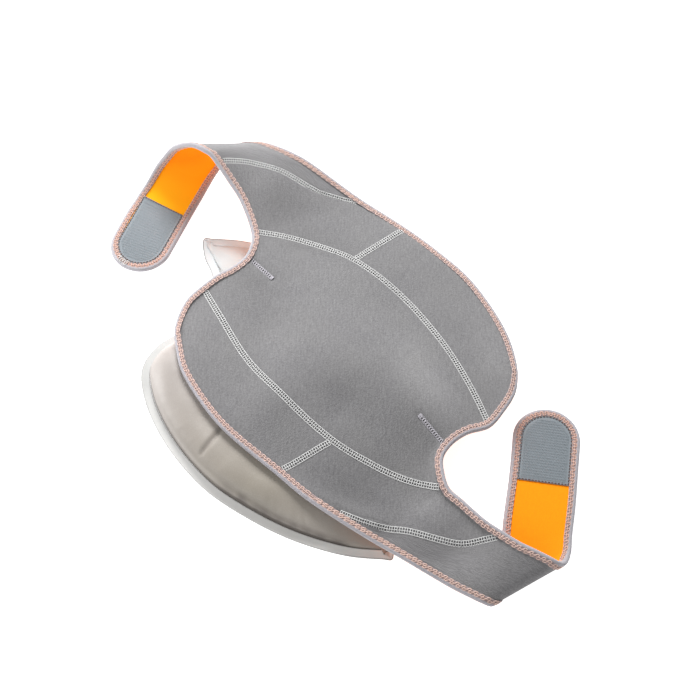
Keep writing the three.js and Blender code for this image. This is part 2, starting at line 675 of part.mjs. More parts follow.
// Assembly
const group = new THREE.Group();
function addPiece(name, geometry, color, roughness) {
  const mesh = new THREE.Mesh(geometry, new THREE.MeshStandardMaterial({ color, roughness }));
  mesh.name = name;
  group.add(mesh);
}

const seam = () => SEAM_INSET;
const bound = () => EDGE_INSET;
const centreInsets = { start: EDGE_INSET, end: EDGE_INSET, low: seam, high: seam };
const sideInsets = { start: SEAM_INSET, end: EDGE_INSET, low: seam, high: bound };
const baseNear = (i) => (i < baseCorner ? SEAM_INSET : EDGE_INSET);
const baseInsets = { start: SEAM_INSET, end: SEAM_INSET, low: bound, high: baseNear };
const strapInsets = (tip) => {
  return { start: SEAM_INSET, end: EDGE_INSET, low: bound, high: bound, tip: tipFrame(tip).centre };
};
const upperStrapInsets = strapInsets(UPPER_TIP);
const lowerStrapInsets = strapInsets(LOWER_TIP);

const GREY = 0x96969a;
const ORANGE = 0xff9a12;
const HOOK_GREY = 0x8f979d;
const TAPE_GREY = 0xbebabd;
const GEL = 0xc4beb6;
const FILM = 0xd9d7d2;

addPiece('centre_panel', sheet(centreGrid, centreInsets, OUTER_FACE, LINING_BACK), GREY, 0.9);
addPiece('upper_side_panel', sheet(upperSideGrid, sideInsets, OUTER_FACE, LINING_BACK), GREY, 0.9);
addPiece('lower_side_panel', sheet(lowerSideGrid, sideInsets, OUTER_FACE, LINING_BACK), GREY, 0.9);
addPiece('upper_strap_base', sheet(upperBaseGrid, baseInsets, OUTER_FACE, LINING_BACK), GREY, 0.9);
addPiece('lower_strap_base', sheet(lowerBaseGrid, baseInsets, OUTER_FACE, LINING_BACK), GREY, 0.9);
addPiece('upper_strap', sheet(upperStrapGrid, upperStrapInsets, OUTER_FACE, OUTER_BACK), GREY, 0.9);
addPiece('lower_strap', sheet(lowerStrapGrid, lowerStrapInsets, OUTER_FACE, OUTER_BACK), GREY, 0.9);
addPiece('upper_strap_lining', sheet(upperStrapGrid, upperStrapInsets, LINING_FACE, LINING_BACK), ORANGE, 0.85);
addPiece('lower_strap_lining', sheet(lowerStrapGrid, lowerStrapInsets, LINING_FACE, LINING_BACK), ORANGE, 0.85);
addPiece('upper_hook_patch', hookPatch(UPPER_TIP), HOOK_GREY, 0.8);
addPiece('lower_hook_patch', hookPatch(LOWER_TIP), HOOK_GREY, 0.8);

const upperGrids = { side: upperSideGrid, base: upperBaseGrid, strap: upperStrapGrid, tip: UPPER_TIP };
const lowerGrids = { side: lowerSideGrid, base: lowerBaseGrid, strap: lowerStrapGrid, tip: LOWER_TIP };
const upperPath = edgePath(upperGrids, lastOf(centreGrid), NOTCH_CELLS, 0, lowerGrids);
const lowerPath = edgePath(lowerGrids, 0, 0, NOTCH_CELLS, upperGrids);
addPiece('upper_binding', tape(upperPath), TAPE_GREY, 0.8);
addPiece('lower_binding', tape(lowerPath), TAPE_GREY, 0.8);

const outline = packOutline();
const weld = shrunk(outline, PACK_RIM_WIDTH);
const tabHalf = vec(PACK_HALF_OUTLINE[0]);
const tabTurned = new THREE.Vector3(2 * PACK_CENTRE.x - tabHalf.x, 2 * PACK_CENTRE.y - tabHalf.y, 0);
addPiece('gel_pack', pillow(shrunk(weld, PIECE_GAP), [tabHalf, tabTurned]), GEL, 0.35);
addPiece('gel_pack_rim', ring(outline, weld, 0, PACK_RIM_THICKNESS), FILM, 0.35);

export default group;
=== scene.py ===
import math

import bpy
import numpy as np
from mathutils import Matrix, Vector, kdtree, noise


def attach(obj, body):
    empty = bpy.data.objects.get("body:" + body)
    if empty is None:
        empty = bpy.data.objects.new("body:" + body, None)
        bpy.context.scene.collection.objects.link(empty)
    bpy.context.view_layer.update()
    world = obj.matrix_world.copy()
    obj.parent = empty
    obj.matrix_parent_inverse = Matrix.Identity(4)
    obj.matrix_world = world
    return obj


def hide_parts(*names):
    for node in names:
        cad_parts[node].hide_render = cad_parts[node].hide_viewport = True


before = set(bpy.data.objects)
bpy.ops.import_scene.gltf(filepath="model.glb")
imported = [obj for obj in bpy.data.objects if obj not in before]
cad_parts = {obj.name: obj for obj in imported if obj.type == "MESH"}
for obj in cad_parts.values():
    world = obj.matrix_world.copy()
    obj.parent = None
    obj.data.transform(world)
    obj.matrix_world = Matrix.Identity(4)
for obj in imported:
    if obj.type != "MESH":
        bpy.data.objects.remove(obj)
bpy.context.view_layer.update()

# Sizes are in millimetres up to the moment a mesh is made.
MM = 0.001

# Cloth layers, measured from the mid-surface towards the grey outer face
OUTER_FACE = 2.15
OUTER_BACK = 0.15
LINING_FACE = -0.15
LINING_BACK = -1.15
# Under the tape the cloth is drawn in by the inset, less and less over the ease, within one layer
EDGE_INSET = 1.3
EDGE_EASE = 7.0
SAME_LAYER = 1.5
# Lowest heights above the floor: mid-surface, cloth faces, thread and tape
FLOOR_MID = 3.4
FLOOR_CLOTH = 0.1
FLOOR_THREAD = 0.05

# Straps, hook patches and binding
STRAP_HALF_WIDTH = 33.4
HOOK_HALF_WIDTH = 25.2
HOOK_LENGTH = 72.0
HOOK_BACK = 1.45
HOOK_TAPE = 0.75
TAPE_STEP = 1.0
TIP_ROWS = 14
EDGE_HOLD = 16.0
CENTRE_CROWN = 8.0
SIDE_CROWN = 2.0
# Cloth: cells per millimetre in which points are one, rounds of evening out, strap rows that are eased too
MERGE_CELLS, MERGE_SHIFT = 30, 0.123
RELAX_ROUNDS = 90
EASED_ROWS, EASE_OUT_ROWS = 50, 22

# Sewing
COVER_PITCH = 2.45
COVER_HALF_WIDTH = 2.8
COVER_RUNG, COVER_RAIL = 0.46, 0.42
TAPE_STITCH_PITCH = 3.1
TAPE_RUNG, TAPE_RAIL = 0.46, 0.36
# Stitches on the tape: first, middle and last reach in from the edge, and how far they pinch it
TAPE_ROW_START, TAPE_ROW_MIDDLE, TAPE_ROW_END, TAPE_PINCH = 3.5, 5.5, 7.6, 0.16
DART_PITCH, DART_END_PITCH, DART_THREAD = 5.2, 1.9, 0.42
PATCH_PITCH, PATCH_THREAD = 3.2, 0.42
TACK_LENGTH, TACK_PITCH, TACK_THREAD = 18.5, 6.6, 0.36
# Depth and reach of the dip along a seam and a dart, and reach of the painted shade in their grooves
SEAM_DIP, SEAM_DIP_REACH, SEAM_SHADE_REACH = 0.85, 1.5, 2.4
DART_DIP, DART_DIP_REACH, DART_SHADE_REACH = 1.6, 3.4, 1.8

# Gel pack
PACK_HEIGHT = 21.5
PACK_RIM_WIDTH = 9.0
PACK_RIM_THICKNESS = 1.3
PACK_SHOULDER = 28.0
PACK_TAB_REACH = 62.0
PACK_TAB_DROP = 0.9
PACK_COUNT = 480
# The pack lies under the body up to these places, fading over these widths
PACK_END_X, PACK_END_FADE = 180, 40
PACK_SIDE_Y, PACK_SIDE_FADE = -20, 20
# Creases of the film
PUCKER_HEIGHT, PUCKER_REACH = 0.3, 8
SWELL_HEIGHT = 1.6
CREASE_DEPTH, CREASE_REACH = 1.6, 2.6

# Camera of the photo: turn, rise, distance and aim in metres, picture width, focal length and shift in pixels
VIEW_TURN = math.radians(46.5)
VIEW_RISE = math.radians(62.0)
VIEW_AWAY = 1.3
VIEW_TARGET = (0, 0, 0.030)
PHOTO_WIDTH = 700
PHOTO_FOCUS = 1300
PHOTO_SHIFT = (2, 6)
SENSOR_WIDTH = 36.0

UPPER_ARC = np.array([
    (-171, 23, 42), (-136, 49, 39), (-95.5, 70, 36.5), (-73.5, 78, 36),
    (-14, 84, 35.5), (50.5, 77, 35), (106.5, 62, 34), (153, 44, 33),
], float)
LOWER_ARC = np.array([
    (-160, -54, 35), (-120, -64.5, 34.5), (-62, -78, 34.5), (0, -80, 35),
    (59.5, -76.5, 35), (100.5, -66, 35), (137, -52, 36), (171, -30, 37),
], float)

# Strap rows: near edge x, y, z, then far edge x, y, z
UPPER_STRAP = np.array([
    (-171, 23, 42, -158, 134, 36.5), (-206, 38, 49, -195, 126.5, 45),
    (-224, 41, 55, -213, 120.5, 48), (-242, 43, 62, -231, 114, 47),
    (-257, 44, 69, -245, 109, 43), (-266, 42, 72.5, -254, 105, 38.5),
    (-281, 38, 71, -266, 99, 30), (-293, 33, 64, -274, 90, 19.5),
    (-304, 27, 53, -277, 77, 11), (-310, 19, 40, -274, 63, 7),
    (-314, 10, 28, -270, 50, 5), (-314, -6, 13, -260, 25, 3.4),
    (-310, -28, 3.4, -249, -1, 3.4),
], float)
LOWER_STRAP = np.array([
    (171, -30, 37, 145.5, -118.5, 20), (188, -29, 35.5, 162, -114, 19.2),
    (215, -27, 33, 188, -106.5, 17.8), (233, -23, 31, 206, -101.5, 16.3),
    (252, -18, 29, 225.5, -96, 15), (267, -12, 27, 240.5, -91.5, 14.2),
    (279, -7, 24.5, 253, -87, 13.6), (289, -2, 20, 264, -82.5, 12.2),
    (292, 5, 13.5, 270.5, -77, 8), (288, 17, 7, 265, -66, 3.8),
    (277, 32, 3.8, 248, -38, 3.4), (259, 57, 3.4, 222, -6, 3.4),
    (238, 84, 3.4, 195, 31, 3.4),
], float)
# Round strap tips: centre x, y and heading in degrees
UPPER_TIP = (-260.5, -57.5, -66.0)
LOWER_TIP = (193.0, 87.5, 128.0)

# Curved seam between strap and base: share across from the far edge, strap row
UPPER_SEAM = [
    (0, -2), (0.145, -1.15), (0.25, 0.15), (0.38, 1.1),
    (0.5, 2.1), (0.62, 2.78), (0.855, 3.37), (1, 3.5),
]
LOWER_SEAM = [
    (0, -1.5), (0.145, -0.5), (0.26, 0.45), (0.38, 1.28),
    (0.5, 2.05), (0.62, 2.75), (0.855, 3.13), (1, 3.3),
]
UPPER_RULING = 4.6
LOWER_RULING = 3.8

UPPER_OUTER_EDGE = np.array([
    (-128, 139, 32), (-67, 150, 28.5), (-22, 154, 28), (21, 154, 27.5),
    (76, 141, 27), (105, 128, 26.5), (128, 111, 26.5), (143, 92, 27.5),
    (150, 68, 29.5), (153, 44, 33), (144, 22, 36), (142, 3, 38),
    (146, -13, 38.5), (157, -23, 38.3),
], float)
LOWER_OUTER_EDGE = np.array([
    (82, -133, 23.5), (43, -137, 24.5), (-26.3, -143, 24.5), (-64.5, -139.7, 24.5),
    (-104.2, -130.6, 25), (-123.3, -120.4, 25.5), (-141, -108, 26.5), (-151, -96, 28),
    (-160, -75, 31), (-160, -54, 35), (-158, -36, 37.5), (-153, -18, 40),
    (-153, -1, 41), (-161, 14, 42),
], float)
# Rows of the outer edge tables
CROSS_SEAM_ROW, LOBE_ROW, ARC_END_ROW, NOTCH_END_ROW = 1, 6, 9, 14

PACK_CENTRE = np.array((-23.0, -56.0))
PACK_HALF_OUTLINE = np.array([
    (-222, -3), (-204, -18), (-178, -29), (-155, -58), (-151, -91),
    (-155, -124), (-146, -151), (-119, -171), (-66, -188), (-4, -192),
    (44, -183), (96, -165), (143, -138.5), (169, -116),
], float)
PACK_TABS = (PACK_HALF_OUTLINE[0], 2 * PACK_CENTRE - PACK_HALF_OUTLINE[0])
PACK_CREASE = np.array([(-31, -139), (-25, -172)], float)
# Near foot of the pillow wall, along which the film carries a band of painted shade
PACK_SHADE_FOOT = np.array([(24, -172), (49, -168), (71, -162), (98, -153), (127, -141)], float)
PACK_SHARES = 1 - np.concatenate([
    [0.0, 0.004, 0.009, 0.016, 0.026, 0.04], np.linspace(0.06, 0.5, 26), [0.62, 0.76, 0.9]])


def curve(points, rows):
    """Smooth curve through table rows, read by row number."""
    points = np.asarray(points, float)
    rows = np.asarray(rows, float)
    last = len(points) - 1
    span = np.sqrt(np.linalg.norm(np.diff(points, axis=0), axis=1))
    slope = np.diff(points, axis=0) / span[:, None]
    tangent = np.zeros_like(points)
    mixed = slope[:-1] * span[1:, None] + slope[1:] * span[:-1, None]
    tangent[1:-1] = mixed / (span[1:] + span[:-1])[:, None]
    tangent[0] = 1.5 * slope[0] - 0.5 * tangent[1]
    tangent[-1] = 1.5 * slope[-1] - 0.5 * tangent[-2]
    i = np.clip(np.floor(rows).astype(int), 0, last - 1)
    s = (rows - i)[..., None]
    h = span[i][..., None]
    return (points[i] * (2 * s**3 - 3 * s**2 + 1) + tangent[i] * (s**3 - 2 * s**2 + s) * h
            + points[i + 1] * (-2 * s**3 + 3 * s**2) + tangent[i + 1] * (s**3 - s**2) * h)


def edge_curve(points, rows):
    point = curve(points, rows)
    point[..., 2] = np.maximum(point[..., 2], FLOOR_MID)
    return point


def unit(v):
    return v / np.maximum(np.linalg.norm(v, axis=-1, keepdims=True), 1e-12)


def lengths(line):
    return np.concatenate([[0.0], np.cumsum(np.linalg.norm(np.diff(line, axis=0), axis=1))])


def smooth_step(x):
    x = np.clip(x, 0, 1)
    return x * x * (3 - 2 * x)


def read_at(at, values, where):
    """Values along a line, read at the given lengths."""
    return np.stack([np.interp(where, at, values[:, k]) for k in range(values.shape[1])], 1)


def even(line, values, step):
    """Points and values at even steps along a line."""
    run = lengths(line)
    count = max(int(round(run[-1] / step)), 2)
    at = np.linspace(0, run[-1], count + 1)
    return at, read_at(run, line, at), [read_at(run, v, at) for v in values]


def near_tree(spots):
    tree = kdtree.KDTree(len(spots))
    for number, spot in enumerate(spots):
        tree.insert(spot, number)
    tree.balance()
    return tree


def nearest(points, spots):
    """Distance from each point to the nearest of some spots."""
    return np.concatenate([np.sqrt(((part[:, None] - spots[None])**2).sum(-1)).min(1)
                           for part in np.array_split(points, len(points) // 1000 + 1)])


def tip_frame(tip):
    angle = math.radians(tip[2])
    heading = np.array((math.cos(angle), math.sin(angle), 0.0))
    near = np.array((heading[1], -heading[0], 0.0))
    return heading, near, np.array((tip[0], tip[1], FLOOR_MID))


def strap_edges(table, tip):
    _, near, centre = tip_frame(tip)
    return (np.vstack([table[:, :3], centre + STRAP_HALF_WIDTH * near]),
            np.vstack([table[:, 3:], centre - STRAP_HALF_WIDTH * near]))


upper_near, upper_far = strap_edges(UPPER_STRAP, UPPER_TIP)
lower_near, lower_far = strap_edges(LOWER_STRAP, LOWER_TIP)
UPPER_EDGE = np.vstack([upper_far[::-1], UPPER_OUTER_EDGE, lower_near])
LOWER_EDGE = np.vstack([lower_far[::-1], LOWER_OUTER_EDGE, upper_near])
STRAP_ROWS = len(upper_far)


class Band:
    """One lobe and its strap: the arc, the outer edge and the edge past the notch."""

    def __init__(self, arc, own_edge, other_edge, cross, arc_end, seam, ruling, tip):
        self.arc, self.own, self.other = arc, own_edge, other_edge
        self.cross, self.arc_end, self.ruling, self.tip = cross, arc_end, ruling, tip
        fine = curve([(a, r, 0) for a, r in seam], np.linspace(0, len(seam) - 1, 300))
        self.seam_across, self.seam_rows = fine[:, 0], fine[:, 1]

    def outer_at(self, rows):
        return edge_curve(self.own, STRAP_ROWS + np.asarray(rows, float))

    def far_at(self, rows):
        return edge_curve(self.own, STRAP_ROWS - 1 - np.asarray(rows, float))

    def near_at(self, rows):
        return edge_curve(self.other, STRAP_ROWS + NOTCH_END_ROW + np.asarray(rows, float))

    def seam_row(self, across):
        return np.interp(across, self.seam_across, self.seam_rows)

    def point(self, rows, across):
        rows, across = np.broadcast_arrays(np.asarray(rows, float), np.asarray(across, float))
        count = abs(self.cross - self.arc_end)
        step = np.sign(self.cross - self.arc_end)
        before, after = np.minimum(rows, 0), np.maximum(rows, 0)
        on_base = (rows < 0)[..., None]
        near = np.where(on_base, curve(self.arc, self.arc_end - step * before), self.near_at(after))
        far = np.where(on_base, self.far_at(before * 2 / count), self.far_at(after))
        return far + (near - far) * across[..., None]


ARC_LAST = 7
upper_band = Band(UPPER_ARC, UPPER_EDGE, LOWER_EDGE, 3, 0, UPPER_SEAM, UPPER_RULING, UPPER_TIP)
lower_band = Band(LOWER_ARC, LOWER_EDGE, UPPER_EDGE, 4, ARC_LAST, LOWER_SEAM, LOWER_RULING, LOWER_TIP)
BANDS = {"upper": upper_band, "lower": lower_band}

# Rows and columns of the cloth lie close together beside the seams.
NEAR_SEAM = np.array((0.006, 0.014, 0.028))
COLUMNS = np.unique(np.concatenate([np.linspace(0, 1, 27), 1 - NEAR_SEAM]))
CENTRE_V = np.unique(np.concatenate([np.linspace(0, 1, 55), NEAR_SEAM / 2, 1 - NEAR_SEAM / 2]))
BASE_CELLS, SIDE_CELLS = 40, 78


def shares(line):
    run = lengths(line)
    return run / run[-1]


def four_sided(low, high, start, end, v, crown):
    """Panel between four sewn sides, crowned in its middle."""
    low_u, high_u = shares(low)[:, None], shares(high)[:, None]
    start_v, end_v = shares(start)[None, :], shares(end)[None, :]
    run = np.linspace(0, 1, len(low))[:, None]
    u = (low_u + (high_u - low_u) * v[None, :])[..., None]
    w = (start_v + (end_v - start_v) * run)[..., None]
    grid = low[:, None] * (1 - w) + high[:, None] * w
    grid = grid + start[None] * (1 - u) + end[None] * u
    grid = grid - (low[0] * (1 - u) + low[-1] * u) * (1 - w) - (high[0] * (1 - u) + high[-1] * u) * w
    grid[..., 2] += crown * 16 * (u * (1 - u) * w * (1 - w))[..., 0]
    return grid


def arc_stations(cross, arc_end, cells):
    """Rows along an arc from the cross seam to the notch, and their shares of the way."""
    share = np.unique(np.concatenate([np.linspace(0, 1, cells + 1), NEAR_SEAM / 2.4]))
    return cross + (arc_end - cross) * share, share


base_rows, side_rows, side_share = {}, {}, {}
for half, band in BANDS.items():
    base_rows[half], _ = arc_stations(band.cross, band.arc_end, BASE_CELLS)
    side_rows[half], side_share[half] = arc_stations(band.cross, ARC_LAST - band.arc_end, SIDE_CELLS)


def notch_line(band, share):
    return band.outer_at(NOTCH_END_ROW + (ARC_END_ROW - NOTCH_END_ROW) * share)


def side_grid(band, rows, share):
    v = (1 - COLUMNS)[::-1]
    junction, seam_end = curve(band.arc, band.cross), band.outer_at(CROSS_SEAM_ROW)
    return four_sided(
        curve(band.arc, rows),
        band.outer_at(CROSS_SEAM_ROW + (LOBE_ROW - CROSS_SEAM_ROW) * share),
        junction + (seam_end - junction) * v[:, None],
        band.outer_at(ARC_END_ROW + (LOBE_ROW - ARC_END_ROW) * v), v, SIDE_CROWN)


def base_grid(band, rows):
    before = -np.abs(rows - band.arc_end)
    seam_near = band.seam_row(1.0)
    close = np.array((0.08, 0.04, 0.016))
    after = np.concatenate([np.linspace(0, seam_near, 27)[1:-1], seam_near - close, [seam_near]])
    near_rows = np.unique(np.concatenate([before, after]))
    share = ((near_rows - near_rows[0]) / (seam_near - near_rows[0]))[:, None]
    seam = band.seam_row(COLUMNS)[None, :]
    return band.point(near_rows[0] + (seam - near_rows[0]) * share, COLUMNS[None, :])


def strap_grid(band, ruled_rows):
    heading, near, centre = tip_frame(band.tip)
    share = np.unique(np.concatenate([np.linspace(0, 1, 31), (0.004, 0.01, 0.02)]))[:, None]
    seam = band.seam_row(COLUMNS)[None, :]
    slanted = band.point(seam + (band.ruling - seam) * share, COLUMNS[None, :])
    ruled = band.point(ruled_rows[:, None], COLUMNS[None, :])
    tip = []
    for degrees in np.linspace(5, 80, TIP_ROWS):
        angle = math.radians(degrees)
        aside = STRAP_HALF_WIDTH * math.cos(angle) * (2 * COLUMNS - 1)
        full = np.sqrt(STRAP_HALF_WIDTH**2 - aside**2)
        ahead = full if degrees > 79 else np.full_like(aside, STRAP_HALF_WIDTH * math.sin(angle))
        tip.append(centre + ahead[:, None] * heading + aside[:, None] * near)
    return np.concatenate([slanted, ruled, np.array(tip)])


def ruled_rows(start, dense):
    """Rows past the slanting seam, closer together where the strap turns over."""
    rows, last = [start], float(STRAP_ROWS - 1)
    while rows[-1] < last:
        turning = dense[0] < rows[-1] < dense[1]
        rows.append(min(last, rows[-1] + (0.09 if turning else 0.16)))
    return np.array(rows[1:])


grids = {"centre_panel": four_sided(
    curve(LOWER_ARC, np.concatenate([side_rows["lower"][::-1], base_rows["lower"][1:]])),
    curve(UPPER_ARC, np.concatenate([base_rows["upper"][::-1], side_rows["upper"][1:]])),
    notch_line(lower_band, 1 - CENTRE_V), notch_line(upper_band, CENTRE_V), CENTRE_V, CENTRE_CROWN)}
for half, band in BANDS.items():
    grids[half + "_side_panel"] = side_grid(band, side_rows[half], side_share[half])
for half, band in BANDS.items():
    grids[half + "_strap_base"] = base_grid(band, base_rows[half])
BODY_PANELS = tuple(grids)
# Rows between which each strap turns over
for half, dense in (("upper", (5, 11)), ("lower", (6, 10.5))):
    grids[half + "_strap"] = strap_grid(BANDS[half], ruled_rows(BANDS[half].ruling, dense))
STRAPS = tuple(grids)[len(BODY_PANELS):]


def grid_quads(ids):
    return np.stack([ids[:-1, :-1], ids[1:, :-1], ids[1:, 1:], ids[:-1, 1:]], -1).reshape(-1, 4)


def quad_sides(quads):
    return np.concatenate([quads[:, [k, (k + 1) % 4]] for k in range(4)])


def ring_quads(ids):
    """Quads between rows of points, each row closed into a ring."""
    nxt = np.roll(ids, -1, axis=1)
    return np.stack([ids[:-1], nxt[:-1], nxt[1:], ids[1:]], -1).reshape(-1, 4)


def tube_faces(ids):
    """Rings of quads with a lid at both ends."""
    return ring_quads(ids).tolist() + [ids[0][::-1].tolist(), ids[-1].tolist()]


def merged(named):
    """All panels as one cloth, so that they share points and normals along their seams."""
    flat = np.concatenate([g.reshape(-1, 3) for g in named.values()])
    key = np.round(flat * MERGE_CELLS + MERGE_SHIFT).astype(np.int64)
    _, first, inverse = np.unique(key, axis=0, return_index=True, return_inverse=True)
    inverse = inverse.ravel()
    index, start, quads = {}, 0, []
    for name, g in named.items():
        n, m = g.shape[:2]
        index[name] = inverse[start:start + n * m].reshape(n, m)
        start += n * m
        quads.append(grid_quads(index[name]))
    return flat[first], index, np.concatenate(quads)


cloth, place, cloth_quads = merged(grids)


def relaxed(points, quads, freedom, rounds):
    """Heights evened out like a stretched cloth, with the bound edge held."""
    edges, used = np.unique(np.sort(quad_sides(quads), axis=1), axis=0, return_counts=True)
    held = np.zeros(len(points), bool)
    held[edges[used == 1].ravel()] = True
    keep = edges[:, 0] != edges[:, 1]
    a, b = edges[keep, 0], edges[keep, 1]
    pull = 1 / np.maximum(np.linalg.norm(points[a, :2] - points[b, :2], axis=1), 0.2)
    total = np.zeros(len(points))
    np.add.at(total, a, pull)
    np.add.at(total, b, pull)
    share = np.where(held, 0, freedom)
    z = points[:, 2].copy()
    for _ in range(rounds):
        around = np.bincount(a, pull * z[b], len(z)) + np.bincount(b, pull * z[a], len(z))
        z += share * (around / np.maximum(total, 1e-9) - z)
    out = points.copy()
    out[:, 2] = z
    return out, held


freedom = np.zeros(len(cloth))
for panel_name in BODY_PANELS:
    freedom[place[panel_name].ravel()] = 1.0
on_body = freedom > 0.5
for panel_name in STRAPS:
    ids = place[panel_name]
    eased = np.clip((EASED_ROWS - np.arange(len(ids))) / EASE_OUT_ROWS, 0, 1)
    freedom[ids] = np.maximum(freedom[ids], eased[:, None])
cloth, cloth_edge = relaxed(cloth, cloth_quads, freedom, RELAX_ROUNDS)

# Darts: start at the notch edge, end inside the panel
LEFT_DART = np.array([(-146, 0.5), (-112, 0.8)], float)
RIGHT_DART = np.array([(136, -2.4), (100, -0.6)], float)
DARTS = (LEFT_DART, RIGHT_DART)


def to_segment(xy, segment):
    """Distance to a segment, and the share along it."""
    a, b = segment
    t = np.clip(((xy - a) @ (b - a)) / ((b - a) @ (b - a)), 0, 1)
    return np.linalg.norm(xy - a - t[:, None] * (b - a), axis=1), t


def hump(xy, centre, reach_x, reach_y, turn):
    """Soft rise round a centre, longer one way than the other."""
    angle = math.radians(turn)
    d = xy - np.array(centre)
    along = (d[:, 0] * math.cos(angle) + d[:, 1] * math.sin(angle)) / reach_x
    across = (-d[:, 0] * math.sin(angle) + d[:, 1] * math.cos(angle)) / reach_y
    return np.exp(-along**2 - across**2)


# Soft dents and swells of the body: centre x, y, half length, half width, turn in degrees, height
BODY_RELIEF = [
    (-210, 99, 44, 24, 0, 1.4), (-196, 73, 30, 24, 120, 4.6), (-168, -57, 62, 24, 90, -2.5),
    (-140, 138, 30, 24, 0, -2.1), (-112, -122, 44, 24, 90, 1.4), (-70, -44, 30, 24, 150, -3.9),
    (-56, 138, 90, 48, 90, 2.6), (-28, 21, 44, 24, 0, 1.9), (-14, -96, 30, 24, 90, 3.1),
    (14, -18, 90, 48, 30, 8.2), (14, 60, 44, 24, 150, -1.8), (42, -44, 30, 24, 0, -3.7),
    (70, -83, 90, 24, 0, 2.0), (84, -135, 62, 24, 0, -1.4), (98, -44, 90, 24, 30, -1.0),
    (98, 8, 44, 24, 0, 4.2), (140, -57, 90, 48, 60, -5.7), (140, 60, 90, 24, 150, -0.7),
    (182, -44, 30, 24, 60, 2.3), (210, -70, 62, 24, 90, -1.4), (252, -57, 30, 24, 90, 1.8),
]
# Ripples all over the cloth: height, length, seed
RIPPLES = ((0.55, 46, 3.1), (0.22, 19, 8.7))


def body_relief(points):
    xy = points[:, :2]
    rise = np.zeros(len(points))
    for x, y, half_length, half_width, turn, height in BODY_RELIEF:
        rise += height * hump(xy, (x, y), half_length, half_width, turn)
    for dart in DARTS:
        away, share = to_segment(xy, dart)
        rise -= DART_DIP * np.exp(-(away / DART_DIP_REACH)**2) * (1 - 0.35 * share)
    for i, (x, y) in enumerate(xy):
        rise[i] += sum(height * noise.noise(Vector((x / span, y / span, seed))) for height, span, seed in RIPPLES)
    return rise


relief = np.zeros(len(cloth))
relief[on_body] = body_relief(cloth[on_body])
# The straps carry the relief on for a way and then run out flat.
for panel_name, even_rows, flat_rows in (("upper_strap", 36, 58), ("lower_strap", 56, 80)):
    ids = place[panel_name][1:flat_rows]
    fade = smooth_step((flat_rows - np.arange(1, flat_rows)) / (flat_rows - even_rows))
    relief[ids] = body_relief(cloth[ids].reshape(-1, 3)).reshape(ids.shape) * fade[:, None]
relief *= smooth_step(nearest(cloth, cloth[cloth_edge]) / EDGE_HOLD)
# Dents stop short of the gel pack under the body.
pack_side = smooth_step((PACK_END_X - cloth[:, 0]) / PACK_END_FADE)
pack_side = pack_side * smooth_step((PACK_SIDE_Y - cloth[:, 1]) / PACK_SIDE_FADE)
room = np.maximum(cloth[:, 2] - FLOOR_MID - 2 - (PACK_HEIGHT - 2.0) * pack_side, 0.3)
relief = np.where(relief < 0, -room * np.tanh(-relief / room), relief)
cloth[:, 2] = np.maximum(cloth[:, 2] + relief, FLOOR_MID)


def cloth_normals(points, quads):
    turn = np.cross(points[quads[:, 2]] - points[quads[:, 0]], points[quads[:, 3]] - points[quads[:, 1]])
    out = np.zeros_like(points)
    for k in range(4):
        np.add.at(out, quads[:, k], turn)
    return unit(out)


normals = cloth_normals(cloth, cloth_quads)

# Broad patches of painted light and shade on the grey cloth, lighter on rolls and bands the light falls on, darker in
# hollows: x, y, half length, half width, turn, strength
PAINTED_LIGHT_SHADE_PATCHES = [
    (84, 30, 52, 22, -12, 0.22),        # light roll beside the right dart
    (234, -58, 38, 24, 75, 0.26),       # light band across the lower strap
    (166, -68, 36, 18, 70, 0.18),       # light beside the lower strap seam
    (106, -88, 46, 28, 65, -0.15),      # hollow of the lower strap base
    (100, 108, 48, 20, -25, 0.18),      # light lobe on the right
    (-114, 66, 44, 20, 32, -0.12),      # hollow along the upper arc
    (-124, -12, 30, 20, 20, -0.13),     # hollow round the left dart
]
painted_light_shade = np.ones(len(cloth))
for x, y, half_length, half_width, turn, strength in PAINTED_LIGHT_SHADE_PATCHES:
    painted_light_shade *= 1 + strength * hump(cloth[:, :2], (x, y), half_length, half_width, turn)


